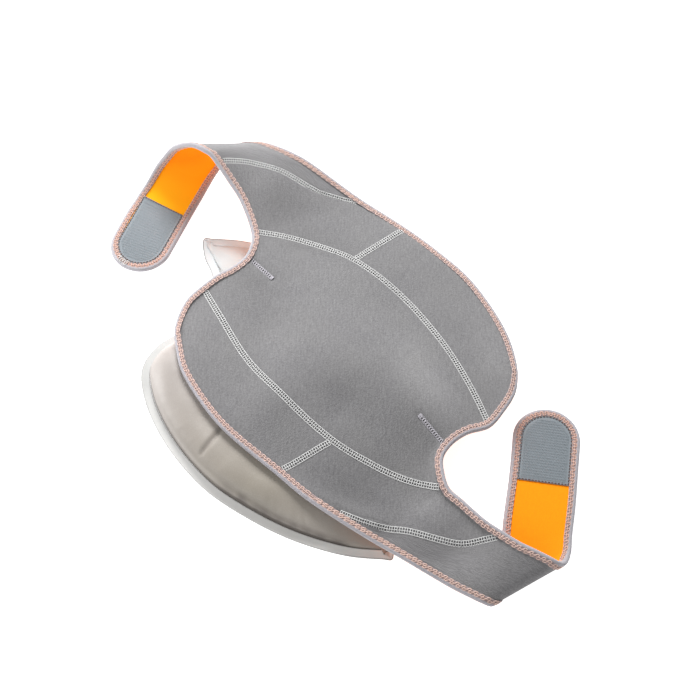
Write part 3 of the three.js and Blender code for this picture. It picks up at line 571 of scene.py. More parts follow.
class Shading:
    """A node tree with short ways to add and join nodes."""

    def __init__(self, tree):
        self.tree = tree

    def join(self, value, socket):
        """Feed a socket from another one, or set it."""
        if isinstance(value, bpy.types.NodeSocket):
            self.tree.links.new(value, socket)
        else:
            socket.default_value = (*value, 1.0) if socket.type == "RGBA" else value

    def add(self, kind, values=None, **settings):
        node = self.tree.nodes.new(kind)
        for key, value in settings.items():
            setattr(node, key, value)
        for key, value in (values or {}).items():
            self.join(value, node.inputs[key])
        return node

    def math(self, operation, a, b=0.0):
        return self.add("ShaderNodeMath", {0: a, 1: b}, operation=operation).outputs[0]

    def times(self, a, b):
        return self.math("MULTIPLY", a, b)

    def sum_of(self, a, share_a, b, share_b):
        return self.math("ADD", self.times(a, share_a), self.times(b, share_b))

    def wave(self, turn):
        return self.math("ADD", self.times(self.math("SINE", turn), 0.5), 0.5)

    def scaled(self, vector, scale):
        return self.add("ShaderNodeMapping", {"Vector": vector, "Scale": scale}).outputs[0]

    def shrunk(self, vector, size):
        values = {0: vector, "Scale": self.math("DIVIDE", 1.0, size)}
        return self.add("ShaderNodeVectorMath", values, operation="SCALE").outputs[0]

    def noise(self, vector, scale, detail=2.0, roughness=0.5):
        values = {"Vector": vector, "Scale": scale, "Detail": detail, "Roughness": roughness}
        return self.add("ShaderNodeTexNoise", values).outputs["Fac"]

    def between(self, value, low, high, to_low=0.0, to_high=1.0):
        values = {"Value": value, "From Min": low, "From Max": high, "To Min": to_low, "To Max": to_high}
        return self.add("ShaderNodeMapRange", values).outputs[0]

    def mix(self, share, a, b, blend="MIX"):
        return self.add("ShaderNodeMix", {0: share, 6: a, 7: b}, data_type="RGBA", blend_type=blend).outputs[2]

    def coordinate(self, kind):
        return self.add("ShaderNodeTexCoord").outputs[kind]

    def axes(self, vector):
        return self.add("ShaderNodeSeparateXYZ", {0: vector}).outputs

    def measure(self, name):
        return self.add("ShaderNodeAttribute", attribute_name=name).outputs["Fac"]

    def effect(self, group, **values):
        return self.add("ShaderNodeGroup", values, node_tree=group).outputs


def shared_effect(name, numbers, outputs):
    """Node group that reads a vector and some numbers."""
    group = bpy.data.node_groups.new(name, "ShaderNodeTree")
    group.interface.new_socket(name="Vector", in_out="INPUT", socket_type="NodeSocketVector")
    for label, value in numbers.items():
        group.interface.new_socket(name=label, in_out="INPUT", socket_type="NodeSocketFloat").default_value = value
    for label in outputs:
        group.interface.new_socket(name=label, in_out="OUTPUT", socket_type="NodeSocketFloat")
    tree = Shading(group)
    return group, tree, tree.add("NodeGroupInput").outputs, tree.add("NodeGroupOutput").inputs


def make_knit_effect():
    """Loop knit seen close: wales along the second texture axis, broken into loops."""
    group, tree, given, result = shared_effect("loop_knit", {"Loop": 1.0, "Streak": 0.5}, ("Tone", "Relief"))
    loops = tree.shrunk(given["Vector"], given["Loop"])
    wales = tree.noise(tree.scaled(loops, (0.62, 0.085, 1.0)), 1.0, 2.0, 0.55)
    fuzz = tree.noise(tree.scaled(loops, (0.42, 0.42, 1.0)), 1.0, 3.0, 0.65)
    cell = tree.add("ShaderNodeTexVoronoi", {"Vector": tree.scaled(loops, (0.9, 0.62, 1.0)), "Scale": 1.0})
    dots = tree.between(cell.outputs["Distance"], 0.05, 0.75, 1.0, 0.0)
    streaked = tree.sum_of(wales, given["Streak"], fuzz, tree.math("SUBTRACT", 1.0, given["Streak"]))
    tree.join(tree.sum_of(tree.between(streaked, 0.28, 0.72), 0.75, dots, 0.25), result["Tone"])
    tree.join(tree.sum_of(dots, 0.6, fuzz, 0.55), result["Relief"])
    return group


def make_drift_effect():
    """Slow change of tone over a surface, as handling and dye leave it."""
    group, tree, given, result = shared_effect("tone_drift", {"Size": 60.0}, ("Drift",))
    broad = tree.noise(tree.shrunk(given["Vector"], given["Size"]), 1.0, 2.0, 0.5)
    tree.join(tree.between(broad, 0.3, 0.7), result["Drift"])
    return group


def make_twist_effect():
    """Plies of a sewing thread: slanting ridges round its length."""
    group, tree, given, result = shared_effect("thread_twist", {"Lay": 0.9}, ("Tone", "Relief"))
    length, turn = tree.axes(given["Vector"])[:2]
    along = tree.math("DIVIDE", length, given["Lay"])
    ridge = tree.wave(tree.times(tree.math("ADD", along, turn), 2 * math.pi))
    fluff = tree.noise(tree.scaled(given["Vector"], (1.4, 3.0, 1.0)), 1.0, 2.0, 0.6)
    tree.join(tree.sum_of(ridge, 0.55, fluff, 0.45), result["Tone"])
    tree.join(ridge, result["Relief"])
    return group


KNIT = make_knit_effect()
DRIFT = make_drift_effect()
TWIST = make_twist_effect()


class Finish(Shading):
    """A material under way: its node tree and the sockets of its shader."""

    def __init__(self, name, **constants):
        self.material = bpy.data.materials.new(name)
        self.material.use_nodes = True
        super().__init__(self.material.node_tree)
        self.tree.nodes.clear()
        shader = self.add("ShaderNodeBsdfPrincipled")
        self.add("ShaderNodeOutputMaterial", {0: shader.outputs[0]})
        self.shader = shader.inputs
        for key, value in constants.items():
            self.join(value, self.shader[key.replace("_", " ")])

    def knitted(self, vector, loop, streak, dark, light):
        knit = self.effect(KNIT, Vector=vector, Loop=loop, Streak=streak)
        return knit, self.mix(knit["Tone"], dark, light)

    def drifted(self, tone, vector, size, most, shade):
        drift = self.effect(DRIFT, Vector=vector, Size=size)["Drift"]
        return self.mix(self.between(drift, 0, 1, 0.0, most), tone, shade)

    def layered(self, tone, *layers):
        """Shades laid one over another, each with its share."""
        for share, shade in layers:
            tone = self.mix(share, tone, shade)
        return tone

    def done(self, tone, roughness, relief=None):
        """Join the tone, the roughness (source, low, high) and the relief (height, strength, distance)."""
        source, low, high = roughness
        self.join(tone, self.shader["Base Color"])
        self.join(self.between(source, 0, 1, low, high), self.shader["Roughness"])
        if relief:
            height, strength, distance = relief
            bump = self.add("ShaderNodeBump", {"Height": height, "Strength": strength, "Distance": distance})
            self.join(bump.outputs[0], self.shader["Normal"])
        return self.material


def grey_knit():
    tree = Finish("grey_loop_knit", Sheen_Weight=0.18, Sheen_Roughness=0.55, Specular_IOR_Level=0.18)
    mm = tree.coordinate("UV")
    knit, tone = tree.knitted(mm, 1.0, 0.45, (0.117, 0.114, 0.119), (0.244, 0.241, 0.245))
    tone = tree.drifted(tone, mm, 48.0, 0.2, (0.205, 0.20, 0.193))
    # Painted shade: the tone is darkened in the grooves along the seams and darts.
    tone = tree.mix(tree.times(tree.measure("seam"), 0.5), tone, (0.085, 0.083, 0.088))
    # Painted light and shade: the tone is multiplied by the broad lighter and darker patches.
    tone = tree.mix(1.0, tone, tree.measure("painted_light_shade"), "MULTIPLY")
    return tree.done(tone, (knit["Tone"], 0.82, 0.95), (knit["Relief"], 0.55, 0.0005))


def orange_knit():
    tree = Finish("orange_lining_knit", Specular_IOR_Level=0.08)
    mm = tree.coordinate("UV")
    knit, tone = tree.knitted(mm, 0.8, 0.4, (0.94, 0.245, 0.003), (1.0, 0.33, 0.006))
    tone = tree.drifted(tone, mm, 38.0, 0.3, (1.0, 0.275, 0.004))
    # Painted light: the lining low down at the left end, inside the upper strap loop, is painted lighter and
    # yellower.
    x, _, z = tree.axes(tree.coordinate("Object"))
    low = tree.times(tree.between(z, 0.032, 0.009), tree.between(x, -0.15, -0.2))
    tone = tree.mix(low, tone, (1.0, 0.42, 0.008))
    return tree.done(tone, (knit["Tone"], 0.7, 0.84), (knit["Relief"], 0.3, 0.0003))


def binding_knit():
    tree = Finish("edge_tape_knit", Sheen_Weight=0.15, Sheen_Roughness=0.5, Specular_IOR_Level=0.22)
    mm = tree.coordinate("UV")
    along, reach, _ = tree.axes(mm)
    ribs = tree.wave(tree.times(along, 7.0))
    knit, tone = tree.knitted(mm, 0.7, 0.3, (0.285, 0.272, 0.295), (0.43, 0.415, 0.44))
    sewn = tree.times(tree.between(reach, 2.9, 3.5), tree.between(reach, 8.3, 7.6))
    tone = tree.mix(tree.times(sewn, 0.6), tone, (0.305, 0.185, 0.16))
    return tree.done(tone, (knit["Tone"], 0.7, 0.88), (tree.sum_of(ribs, 0.5, knit["Relief"], 0.5), 0.4, 0.0003))


def sewing_thread(name, dark, light):
    tree = Finish(name, Sheen_Weight=0.1, Specular_IOR_Level=0.3)
    twist = tree.effect(TWIST, Vector=tree.coordinate("UV"), Lay=0.9)
    tone = tree.mix(twist["Tone"], dark, light)
    return tree.done(tone, (twist["Tone"], 0.72, 0.55), (twist["Relief"], 0.5, 0.0001))


def hook_plastic():
    tree = Finish("hook_tape_nylon", Specular_IOR_Level=0.35)
    mm = tree.coordinate("UV")
    knit, tone = tree.knitted(mm, 0.9, 0.35, (0.154, 0.178, 0.197), (0.214, 0.240, 0.260))
    tone = tree.drifted(tone, mm, 30.0, 0.3, (0.192, 0.220, 0.242))
    return tree.done(tone, (knit["Tone"], 0.5, 0.7), (knit["Relief"], 0.35, 0.0003))


def pack_film():
    tree = Finish("gel_pack_film", Specular_IOR_Level=0.45)
    place_m = tree.coordinate("Object")
    x = tree.axes(place_m)[0]
    drift = tree.effect(DRIFT, Vector=place_m, Size=0.055)["Drift"]
    specks = tree.noise(place_m, 900.0, 3.0, 0.6)
    waves = tree.noise(place_m, 60.0, 2.0, 0.5)
    # Painted shade: the film is painted darker and browner from x -0.13 m to the right, where the body's shadow lies,
    # a little less past 0.11 m; paler and cooler at the thin tab; the weld measure carries the dark weld line and
    # painted shade along the near foot of the pillow and its crease.
    tone = tree.layered(
        (0.35, 0.318, 0.302),
        (tree.between(x, -0.13, 0.03), (0.252, 0.226, 0.188)),
        (tree.between(x, 0.05, 0.11), (0.315, 0.283, 0.25)),
        (tree.between(drift, 0, 1, 0.0, 0.2), (0.272, 0.246, 0.214)),
        (tree.between(x, -0.15, -0.185), (0.535, 0.555, 0.56)),
        (tree.between(specks, 0.45, 0.7, 0.0, 0.10), (0.50, 0.48, 0.45)),
        (tree.measure("weld"), (0.060, 0.048, 0.042)))
    return tree.done(tone, (drift, 0.34, 0.48), (tree.sum_of(waves, 0.8, specks, 0.2), 0.25, 0.002))


def rim_film():
    tree = Finish("welded_rim_film", Specular_IOR_Level=0.45, Alpha=0.85)
    place_m = tree.coordinate("Object")
    x = tree.axes(place_m)[0]
    drift = tree.effect(DRIFT, Vector=place_m, Size=0.03)["Drift"]
    # Painted light and shade: the rim is painted lighter from about x -0.045 m on, where the body and pillow shade
    # it, darker again past 0.09 m, and paler and cooler at the thin tab.
    tone = tree.layered(
        (0.40, 0.40, 0.39),
        (tree.between(x, -0.13, -0.045), (0.60, 0.595, 0.58)),
        (tree.between(x, -0.03, 0.09), (0.45, 0.44, 0.42)),
        (tree.between(drift, 0, 1, 0.0, 0.15), (0.62, 0.61, 0.59)),
        (tree.between(x, -0.15, -0.175), (0.58, 0.61, 0.625)),
        (tree.measure("cut_edge"), (0.10, 0.09, 0.085)))
    return tree.done(tone, (drift, 0.38, 0.5), (tree.noise(place_m, 420.0, 2.0, 0.5), 0.2, 0.0006))


GREY_KNIT = grey_knit()
ORANGE_KNIT = orange_knit()
BINDING_KNIT = binding_knit()
HOOK_PLASTIC = hook_plastic()
PACK_FILM = pack_film()
RIM_FILM = rim_film()
PALE_THREAD = sewing_thread("pale_seam_thread", (0.43, 0.43, 0.43), (0.70, 0.70, 0.69))
ROSE_THREAD = sewing_thread("rose_binding_thread", (0.52, 0.345, 0.29), (0.76, 0.57, 0.50))
SALMON_THREAD = sewing_thread("salmon_binding_thread", (0.51, 0.30, 0.235), (0.73, 0.49, 0.40))
BROWN_THREAD = sewing_thread("brown_patch_thread", (0.055, 0.028, 0.026), (0.15, 0.085, 0.075))
LILAC_THREAD = sewing_thread("lilac_dart_thread", (0.34, 0.325, 0.36), (0.60, 0.58, 0.62))


def placed(name, data):
    thing = bpy.data.objects.new(name, data)
    bpy.context.scene.collection.objects.link(thing)
    return thing


def add_piece(name, points, faces, finishes, uv=None, finish_of=None, measures=None, sharp=50):
    mesh = bpy.data.meshes.new(name)
    mesh.from_pydata((np.asarray(points) * MM).tolist(), [], [list(map(int, f)) for f in faces])
    for finish in finishes:
        mesh.materials.append(finish)
    if finish_of is not None:
        mesh.polygons.foreach_set("material_index", np.asarray(finish_of, np.int32))
    if uv is not None:
        corner = np.zeros(len(mesh.loops), np.int32)
        mesh.loops.foreach_get("vertex_index", corner)
        layer = mesh.uv_layers.new(name="surface_mm")
        layer.data.foreach_set("uv", np.asarray(uv, np.float32)[corner].ravel())
    for label, values in (measures or {}).items():
        mesh.attributes.new(label, "FLOAT", "POINT").data.foreach_set("value", np.asarray(values, np.float32))
    mesh.polygons.foreach_set("use_smooth", np.ones(len(mesh.polygons), bool))
    mesh.set_sharp_from_angle(angle=math.radians(sharp))
    mesh.update()
    piece = placed(name, mesh)
    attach(piece, "root")
    return piece


def rim_loop(n, m):
    """Points round a grid, in order."""
    ids = np.arange(n * m).reshape(n, m)
    return np.concatenate([ids[:-1, 0], ids[-1, :-1], ids[:0:-1, -1], ids[0, :0:-1]])


def edge_loop():
    """Bound edge of the cloth in order, split at the middle of each strap tip."""
    known = set(map(tuple, quad_sides(cloth_quads).tolist()))
    step = {a: b for a, b in known if (b, a) not in known}
    order = [min(step)]
    while step[order[-1]] != order[0]:
        order.append(step[order[-1]])
    order = np.array(order)
    cuts = []
    for tip in (UPPER_TIP, LOWER_TIP):
        heading, _, centre = tip_frame(tip)
        cuts.append(int(np.argmin(np.linalg.norm(cloth[order] - centre - STRAP_HALF_WIDTH * heading, axis=1))))
    a, b = cuts
    order = np.roll(order, -a)
    b = (b - a) % len(order)
    return order[:b + 1], np.concatenate([order[b:], order[:1]])


first_path, second_path = edge_loop()


def tucked():
    """Cloth points, with those near the bound edge drawn in under the tape."""
    spots, ups, inwards = [], [], []
    for path in (first_path, second_path):
        along = unit(np.gradient(cloth[path], axis=0))
        spots.append(cloth[path])
        ups.append(normals[path])
        inwards.append(unit(np.cross(normals[path], along)))
    spots, ups, inwards = map(np.concatenate, (spots, ups, inwards))
    tree = near_tree(spots)
    out = cloth.copy()
    for number, point in enumerate(cloth):
        spot, near, _ = tree.find(point)
        away = point - np.array(spot)
        depth = max(away @ inwards[near], 0.0)
        if abs(away @ ups[near]) < SAME_LAYER and np.linalg.norm(away) < EDGE_EASE:
            out[number] += EDGE_INSET * max(1 - depth / EDGE_EASE, 0.0) * inwards[near]
    return out


tucked_cloth = tucked()


SEAMS = {
    "upper_arc": place["centre_panel"][:, -1], "lower_arc": place["centre_panel"][:, 0],
    "upper_cross": place["upper_side_panel"][0], "lower_cross": place["lower_side_panel"][0],
    "upper_strap": place["upper_strap"][0], "lower_strap": place["lower_strap"][0],
}
seam_tree = near_tree(np.concatenate([even(cloth[ids], [], 0.7)[1] for ids in SEAMS.values()]))
seam_away = np.array([seam_tree.find(point)[2] for point in cloth])
dart_away = np.full(len(cloth), 99.0)
centre_ids = np.unique(place["centre_panel"])
for dart in DARTS:
    dart_away[centre_ids] = np.minimum(dart_away[centre_ids], to_segment(cloth[centre_ids, :2], dart)[0])
seam_dip = SEAM_DIP * np.exp(-(seam_away / SEAM_DIP_REACH)**2)
# Painted shade: the cloth tone is darkened in the grooves along the seams and darts.
seam_groove_shade = np.clip(np.exp(-(seam_away / SEAM_SHADE_REACH)**2)
                    + 0.9 * np.exp(-(dart_away / DART_SHADE_REACH)**2), 0, 1)


def panel_uv(name, points):
    """Knit direction: one lay over the body panels, along the length on the straps."""
    if name in STRAPS:
        middle = points[:, points.shape[1] // 2]
        along = np.broadcast_to(lengths(middle)[:, None], points.shape[:2])
        across = np.stack([lengths(row) for row in points])
        return np.stack([across, along], -1).reshape(-1, 2)
    x, y = points[..., 0], points[..., 1]
    return np.stack([x * math.cos(VIEW_TURN) + y * math.sin(VIEW_TURN),
                     -x * math.sin(VIEW_TURN) + y * math.cos(VIEW_TURN)], -1).reshape(-1, 2)


def cloth_sheet(name, node, top, under, top_finish, under_finish, dip=True):
    ids = place[node]
    n, m = ids.shape
    middle = tucked_cloth[ids]
    lift = (top - seam_dip[ids])[..., None] if dip else top
    upper = middle + normals[ids] * lift
    lower = middle + normals[ids] * under
    points = np.concatenate([upper.reshape(-1, 3), lower.reshape(-1, 3)])
    points[:, 2] = np.maximum(points[:, 2], FLOOR_CLOTH)
    top_faces = grid_quads(np.arange(n * m).reshape(n, m))
    under_faces = (top_faces + n * m)[:, ::-1]
    loop = rim_loop(n, m)
    after = np.roll(loop, -1)
    walls = np.stack([loop, loop + n * m, after + n * m, after], -1)
    faces = np.concatenate([top_faces, under_faces, walls])
    finish_of = np.repeat([0, 1, 0], [len(top_faces), len(under_faces), len(walls)])
    measures = {"seam": np.tile(seam_groove_shade[ids].ravel(), 2), "painted_light_shade": np.tile(painted_light_shade[ids].ravel(), 2)}
    uv = panel_uv(node, middle)
    return add_piece(name, points, faces, [top_finish, under_finish], np.concatenate([uv, uv]), finish_of, measures)


pieces = {}
for node in BODY_PANELS:
    pieces[node] = cloth_sheet(node + "_cloth", node, OUTER_FACE, LINING_BACK, GREY_KNIT, ORANGE_KNIT)
for node in STRAPS:
    pieces[node] = cloth_sheet(node + "_cloth", node, OUTER_FACE, OUTER_BACK, GREY_KNIT, GREY_KNIT)
    pieces[node + "_lining"] = cloth_sheet(node + "_lining_cloth", node, LINING_FACE, LINING_BACK,
                                           ORANGE_KNIT, ORANGE_KNIT, dip=False)
for node, piece in pieces.items():
    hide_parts(node)


class Sewing:
    """Threads gathered into one piece."""

    def __init__(self, sides=5):
        self.sides, self.points, self.faces, self.uv, self.count = sides, [], [], [], 0
        self.use, self.finish_of = 0, []

    def thread(self, line, facing, radius):
        line = np.asarray(line, float)
        along = unit(np.gradient(line, axis=0))
        aside = unit(np.cross(along, facing))
        out = np.cross(aside, along)
        turn = np.arange(self.sides) / self.sides * 2 * math.pi
        ring = line[:, None] + radius * (np.cos(turn)[None, :, None] * out[:, None]
                                         + np.sin(turn)[None, :, None] * aside[:, None])
        ring[..., 2] = np.maximum(ring[..., 2], FLOOR_THREAD)
        n, k = len(line), self.sides
        faces = tube_faces(self.count + np.arange(n * k).reshape(n, k))
        self.points.append(ring.reshape(-1, 3))
        self.faces += faces
        self.finish_of += [self.use] * len(faces)
        run = lengths(line)
        self.uv.append(np.stack(np.broadcast_arrays(run[:, None], turn[None] / (2 * math.pi)), -1).reshape(-1, 2))
        self.count += n * k

    def lay(self, framed, where, offset, lift, radius):
        """Thread over a line, at given lengths, distances beside it and heights."""
        at, points, up, aside = framed
        facing = unit(read_at(at, up, where))
        beside = read_at(at, aside, where) * np.reshape(offset, (-1, 1))
        self.thread(read_at(at, points, where) + beside + facing * np.reshape(lift, (-1, 1)), facing, radius)

    def piece(self, name, *finishes):
        return add_piece(name, np.concatenate(self.points), self.faces, finishes, np.concatenate(self.uv),
                         self.finish_of, sharp=80)


def seam_frame(line, facing, step=0.6):
    at, points, (up,) = even(line, [facing], step)
    up = unit(up)
    along = unit(np.gradient(points, axis=0))
    return at, points, up, unit(np.cross(up, along))


def to_and_fro(sewing, framed, stations, pitch, near, far, steps, height, radius):
    """Thread between two distances beside a line. Steps: pitches ahead, share of the way over, rise."""
    where, offset, lift = [], [], []
    for k, station in enumerate(stations):
        here, there = (near, far) if k % 2 == 0 else (far, near)
        for ahead, share, rise in steps:
            where.append(station + ahead * pitch)
            offset.append((1 - share) * here + share * there)
            lift.append(height + rise)
    sewing.lay(framed, np.array(where), offset, lift, radius)


def zigzag(sewing, framed, start, stop, pitch, low, high, phase, height, radius, rise=0.15):
    """Slanting stitches across a line."""
    steps = ((-0.10, 0, 0.0), (0.10, 0, 0.0), (0.25, 0.5, rise))
    stations = np.arange(start + phase * pitch, stop, pitch / 2)
    to_and_fro(sewing, framed, stations, pitch, high, low, steps, height, radius)


def ladder(sewing, framed, start, stop, pitch, low, high, height, radius, rise=0.2):
    """Cover stitch: rungs across a line, joined in turn along one side and the other."""
    steps = ((-0.16, 0, 0.0), (0, 0.1, 0.5 * rise), (0.06, 0.5, rise), (0.12, 0.9, 0.5 * rise), (0.28, 1, 0.0))
    to_and_fro(sewing, framed, np.arange(start, stop, pitch), pitch, low, high, steps, height, radius)


def rail(sewing, framed, start, stop, offset, height, radius, pitch):
    """Row of short stitches beside a line."""
    where = np.arange(start, stop, pitch / 4)
    sewing.lay(framed, where, offset, height + 0.16 * np.cos(where / pitch * 2 * math.pi), radius)


def dashes(sewing, framed, height, radius, pitch):
    """Separate short stitches along a line."""
    for s in np.arange(0.0, framed[0][-1] - pitch / 2, pitch):
        where = s + np.array((0.0, 0.12, 0.3, 0.48, 0.6)) * pitch
        sewing.lay(framed, where, 0.0, height + radius * np.array((-0.6, 0.2, 0.5, 0.2, -0.6)), radius)


edge_tree = near_tree(cloth[cloth_edge])


def clear_of_tape(points, inside=7.4):
    """First and last place along a line that lie inside the binding tape."""
    away = np.array([edge_tree.find(point)[2] for point in points])
    inner = np.flatnonzero(away > inside)
    return inner[0], inner[-1]


def cover_seam(name, ids, starts_at_seam=False):
    """Flat seam: rungs and a middle thread, in two rows of gaps."""
    framed = seam_frame(cloth[ids], normals[ids])
    first, last = clear_of_tape(framed[1])
    start, stop = framed[0][first], framed[0][last]
    if starts_at_seam:
        start = COVER_HALF_WIDTH + 0.6
    sewing = Sewing(6)
    ladder(sewing, framed, start, stop, COVER_PITCH, -COVER_HALF_WIDTH, COVER_HALF_WIDTH, OUTER_FACE - 0.05,
           COVER_RUNG)
    rail(sewing, framed, start, stop, 0.0, OUTER_FACE + 0.28, COVER_RAIL, COVER_PITCH)
    for offset in (-COVER_HALF_WIDTH, COVER_HALF_WIDTH):
        rail(sewing, framed, start, stop, offset, OUTER_FACE + 0.05, COVER_RAIL, COVER_PITCH)
    return sewing.piece(name, PALE_THREAD)


seam_pieces = {label: cover_seam(label + "_seam", ids, label.endswith("cross")) for label, ids in SEAMS.items()}


def surface_at(xy):
    """Point and facing of the centre panel's outer face under a plan position."""
    ids = place["centre_panel"].ravel()
    d = np.linalg.norm(cloth[ids, :2] - xy, axis=1)
    close = np.argsort(d)[:6]
    weight = 1 / (d[close] + 0.2)
    weight /= weight.sum()
    facing = unit((normals[ids[close]] * weight[:, None]).sum(0))
    z = (cloth[ids[close], 2] * weight).sum()
    return np.array((xy[0], xy[1], z)), facing


def dart_seam(name, dart):
    share = np.linspace(0.03, 1, 26)[:, None]
    flat = dart[0] + (dart[1] - dart[0]) * share
    spots = [surface_at(p) for p in flat]
    line, facing = np.array([s[0] for s in spots]), np.array([s[1] for s in spots])
    framed = seam_frame(line, facing, 0.8)
    stop = framed[0][-1]
    sewing = Sewing(5)
    for phase in (0.0, 0.5):
        zigzag(sewing, framed, 0.4, stop, DART_PITCH, -2.0, 2.0, phase, OUTER_FACE + 0.3, DART_THREAD)
    for phase in (0.0, 0.5):
        zigzag(sewing, framed, stop - 3.4, stop + 0.2, DART_END_PITCH, -2.2, 2.2, phase, OUTER_FACE + 0.7,
               DART_THREAD)
    return sewing.piece(name, LILAC_THREAD)


dart_pieces = [dart_seam(side + "_dart_stitches", dart) for side, dart in zip(("left", "right"), DARTS)]

# Folded tape: reach in from the edge, height above the mid-surface, from the inner top lip round to the lower lip
TAPE_OUTSIDE = np.array([
    (8.0, 2.35), (7.95, 2.72), (7.6, 3.0), (7.0, 3.08), (6.2, 2.98), (5.2, 2.9), (4.2, 2.95), (3.3, 3.12),
    (2.5, 3.2), (1.7, 3.05), (0.95, 2.62), (0.4, 1.95), (0.08, 1.2), (0.0, 0.45), (0.1, -0.35), (0.45, -1.1),
    (1.0, -1.72), (1.8, -2.12), (2.6, -2.26), (3.4, -2.2), (4.3, -2.04), (5.2, -2.0), (6.2, -2.06), (7.0, -2.16),
    (7.6, -2.08), (7.95, -1.82), (8.0, -1.45),
])
TAPE_INSIDE = np.array([
    (7.8, -1.3), (4.5, -1.28), (1.15, -1.25), (1.0, 0.5), (1.15, 2.25), (4.5, 2.28), (7.8, 2.28),
])
# Both faces of the tape under its stitches: height and side
TAPE_FACES = ((2.98, 1), (-2.08, -1))


def across_straps():
    """Direction in from the bound edges of the straps, along the straight lines of the rolled cloth."""
    into = np.zeros_like(cloth)
    for name in STRAPS:
        ids = place[name][:-TIP_ROWS]
        into[ids[:, 0]] = cloth[ids[:, 3]] - cloth[ids[:, 0]]
        into[ids[:, -1]] = cloth[ids[:, -6]] - cloth[ids[:, -1]]
    return into


strap_across = across_straps()


def softened(values, width):
    """Running mean along the first axis."""
    side = width // 2
    held = np.pad(values, [(side, side), (0, 0)], mode="edge")
    window = np.hanning(width + 2)[1:-1]
    window /= window.sum()
    return np.stack([np.convolve(held[:, k], window, "valid") for k in range(values.shape[1])], 1)


def bound_frame(path):
    at, points, (up, across) = even(cloth[path], [normals[path], strap_across[path]], TAPE_STEP)
    up = softened(up, 5)
    along = unit(softened(unit(np.gradient(points, axis=0)), 5))
    up = unit(up - along * (up * along).sum(1, keepdims=True))
    square = unit(np.cross(up, along))
    ahead, inward = (across * along).sum(1), (across * square).sum(1)
    slant = np.where(np.abs(inward) > 1.0, ahead / np.where(np.abs(inward) > 1.0, inward, 1.0), 0.0)
    slant = softened(np.clip(slant, -1.4, 1.4)[:, None], 9)
    return at, points, up, square + along * slant


def bound_tape(name, path):
    at, points, up, into = framed = bound_frame(path)
    profile = np.concatenate([TAPE_OUTSIDE, TAPE_INSIDE])
    reach = np.broadcast_to(profile[:, 0], (len(at), len(profile))).copy()
    height = np.broadcast_to(profile[:, 1], (len(at), len(profile))).copy()
    pinch = TAPE_PINCH * (0.5 + 0.5 * np.cos(at / TAPE_STITCH_PITCH * 2 * math.pi))[:, None]
    sewn = np.exp(-((profile[:, 0] - 5.2) / 1.5)**2)[None, :]
    outside = (np.arange(len(profile)) < len(TAPE_OUTSIDE))[None, :]
    height -= np.sign(height) * pinch * sewn * outside
    ring = points[:, None] + into[:, None] * reach[..., None] + up[:, None] * height[..., None]
    n, k = reach.shape
    flat = ring.reshape(-1, 3)
    flat[:, 2] = np.maximum(flat[:, 2], FLOOR_THREAD)
    faces = tube_faces(np.arange(n * k).reshape(n, k))
    uv = np.stack([np.broadcast_to(at[:, None], (n, k)), reach], -1).reshape(-1, 2)
    piece = add_piece(name, flat, faces, [BINDING_KNIT], uv, sharp=70)
    sewing = Sewing(5)
    for sewing.use, (face, sign) in enumerate(TAPE_FACES):
        ladder(sewing, framed, 1.0, at[-1] - 1.0, TAPE_STITCH_PITCH, TAPE_ROW_START, TAPE_ROW_END, face,
               TAPE_RUNG, 0.1 * sign)
        rail(sewing, framed, 1.0, at[-1] - 1.0, TAPE_ROW_MIDDLE, face + 0.2 * sign, TAPE_RAIL, TAPE_STITCH_PITCH)
    stitches = sewing.piece(name + "_stitches", ROSE_THREAD, SALMON_THREAD)
    return piece, stitches, at[-1]


upper_first = np.linalg.norm(cloth[first_path] - UPPER_OUTER_EDGE[2], axis=1).min() < 5
upper_path, lower_path = (first_path, second_path) if upper_first else (second_path, first_path)
upper_tape, upper_tape_stitches, upper_tape_length = bound_tape("upper_binding_tape", upper_path)
lower_tape, lower_tape_stitches, lower_tape_length = bound_tape("lower_binding_tape", lower_path)
for piece, node in ((upper_tape, "upper_binding"), (lower_tape, "lower_binding")):
    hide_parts(node)


# Hook patches: corner radius, rings of the tape (inset, height) and rows of hooks
PATCH_CORNER = 0.8
PATCH_RINGS = [(0.0, 0.0), (0.0, 0.5 * HOOK_TAPE), (0.3, HOOK_TAPE), (1.6, HOOK_TAPE - 0.04), (2.2, HOOK_TAPE - 0.12)]
PATCH_RINGS += [(inset, HOOK_TAPE - 0.02) for inset in (2.8, 6.0, 10.0, 14.0, 18.0, 22.0)]
HOOK_ROW_STEP, HOOK_STEP, HOOK_MARGIN, HOOK_LEAN = 1.45, 1.5, 3.4, 0.42
# One hook from its foot: reach, height, radius
HOOK_SHAPE = ((0.0, 0.0, 0.34), (0.1, 0.3, 0.28), (0.75, 0.47, 0.24), (1.35, 0.34, 0.15))


def hook_outline(inset, longer, count=26):
    """Edge of a hook patch as aside, ahead pairs, straight at the strap and round at the tip."""
    half = HOOK_HALF_WIDTH - inset
    back = HOOK_HALF_WIDTH - HOOK_LENGTH + inset
    turn = np.linspace(0, math.pi, count)
    round_end = np.stack([half * np.cos(turn), half * np.sin(turn)], 1)
    corner = PATCH_CORNER
    quarter = np.linspace(0, math.pi / 2, 4)
    left = np.stack([-half + corner - corner * np.cos(quarter), back + corner - corner * np.sin(quarter)], 1)
    right = np.stack([half - corner + corner * np.sin(quarter), back + corner - corner * np.cos(quarter)], 1)
    side = np.linspace(0, back + corner, 14)[1:-1]
    down = np.stack([np.full_like(side, -half), side], 1)
    up = np.stack([np.full_like(side, half), side[::-1]], 1)
    cross = np.linspace(-half + corner, half - corner, 16)[1:-1]
    across = np.stack([cross, np.full_like(cross, back)], 1)
    return stretched(np.concatenate([round_end, down, left, across, right, up]), longer)


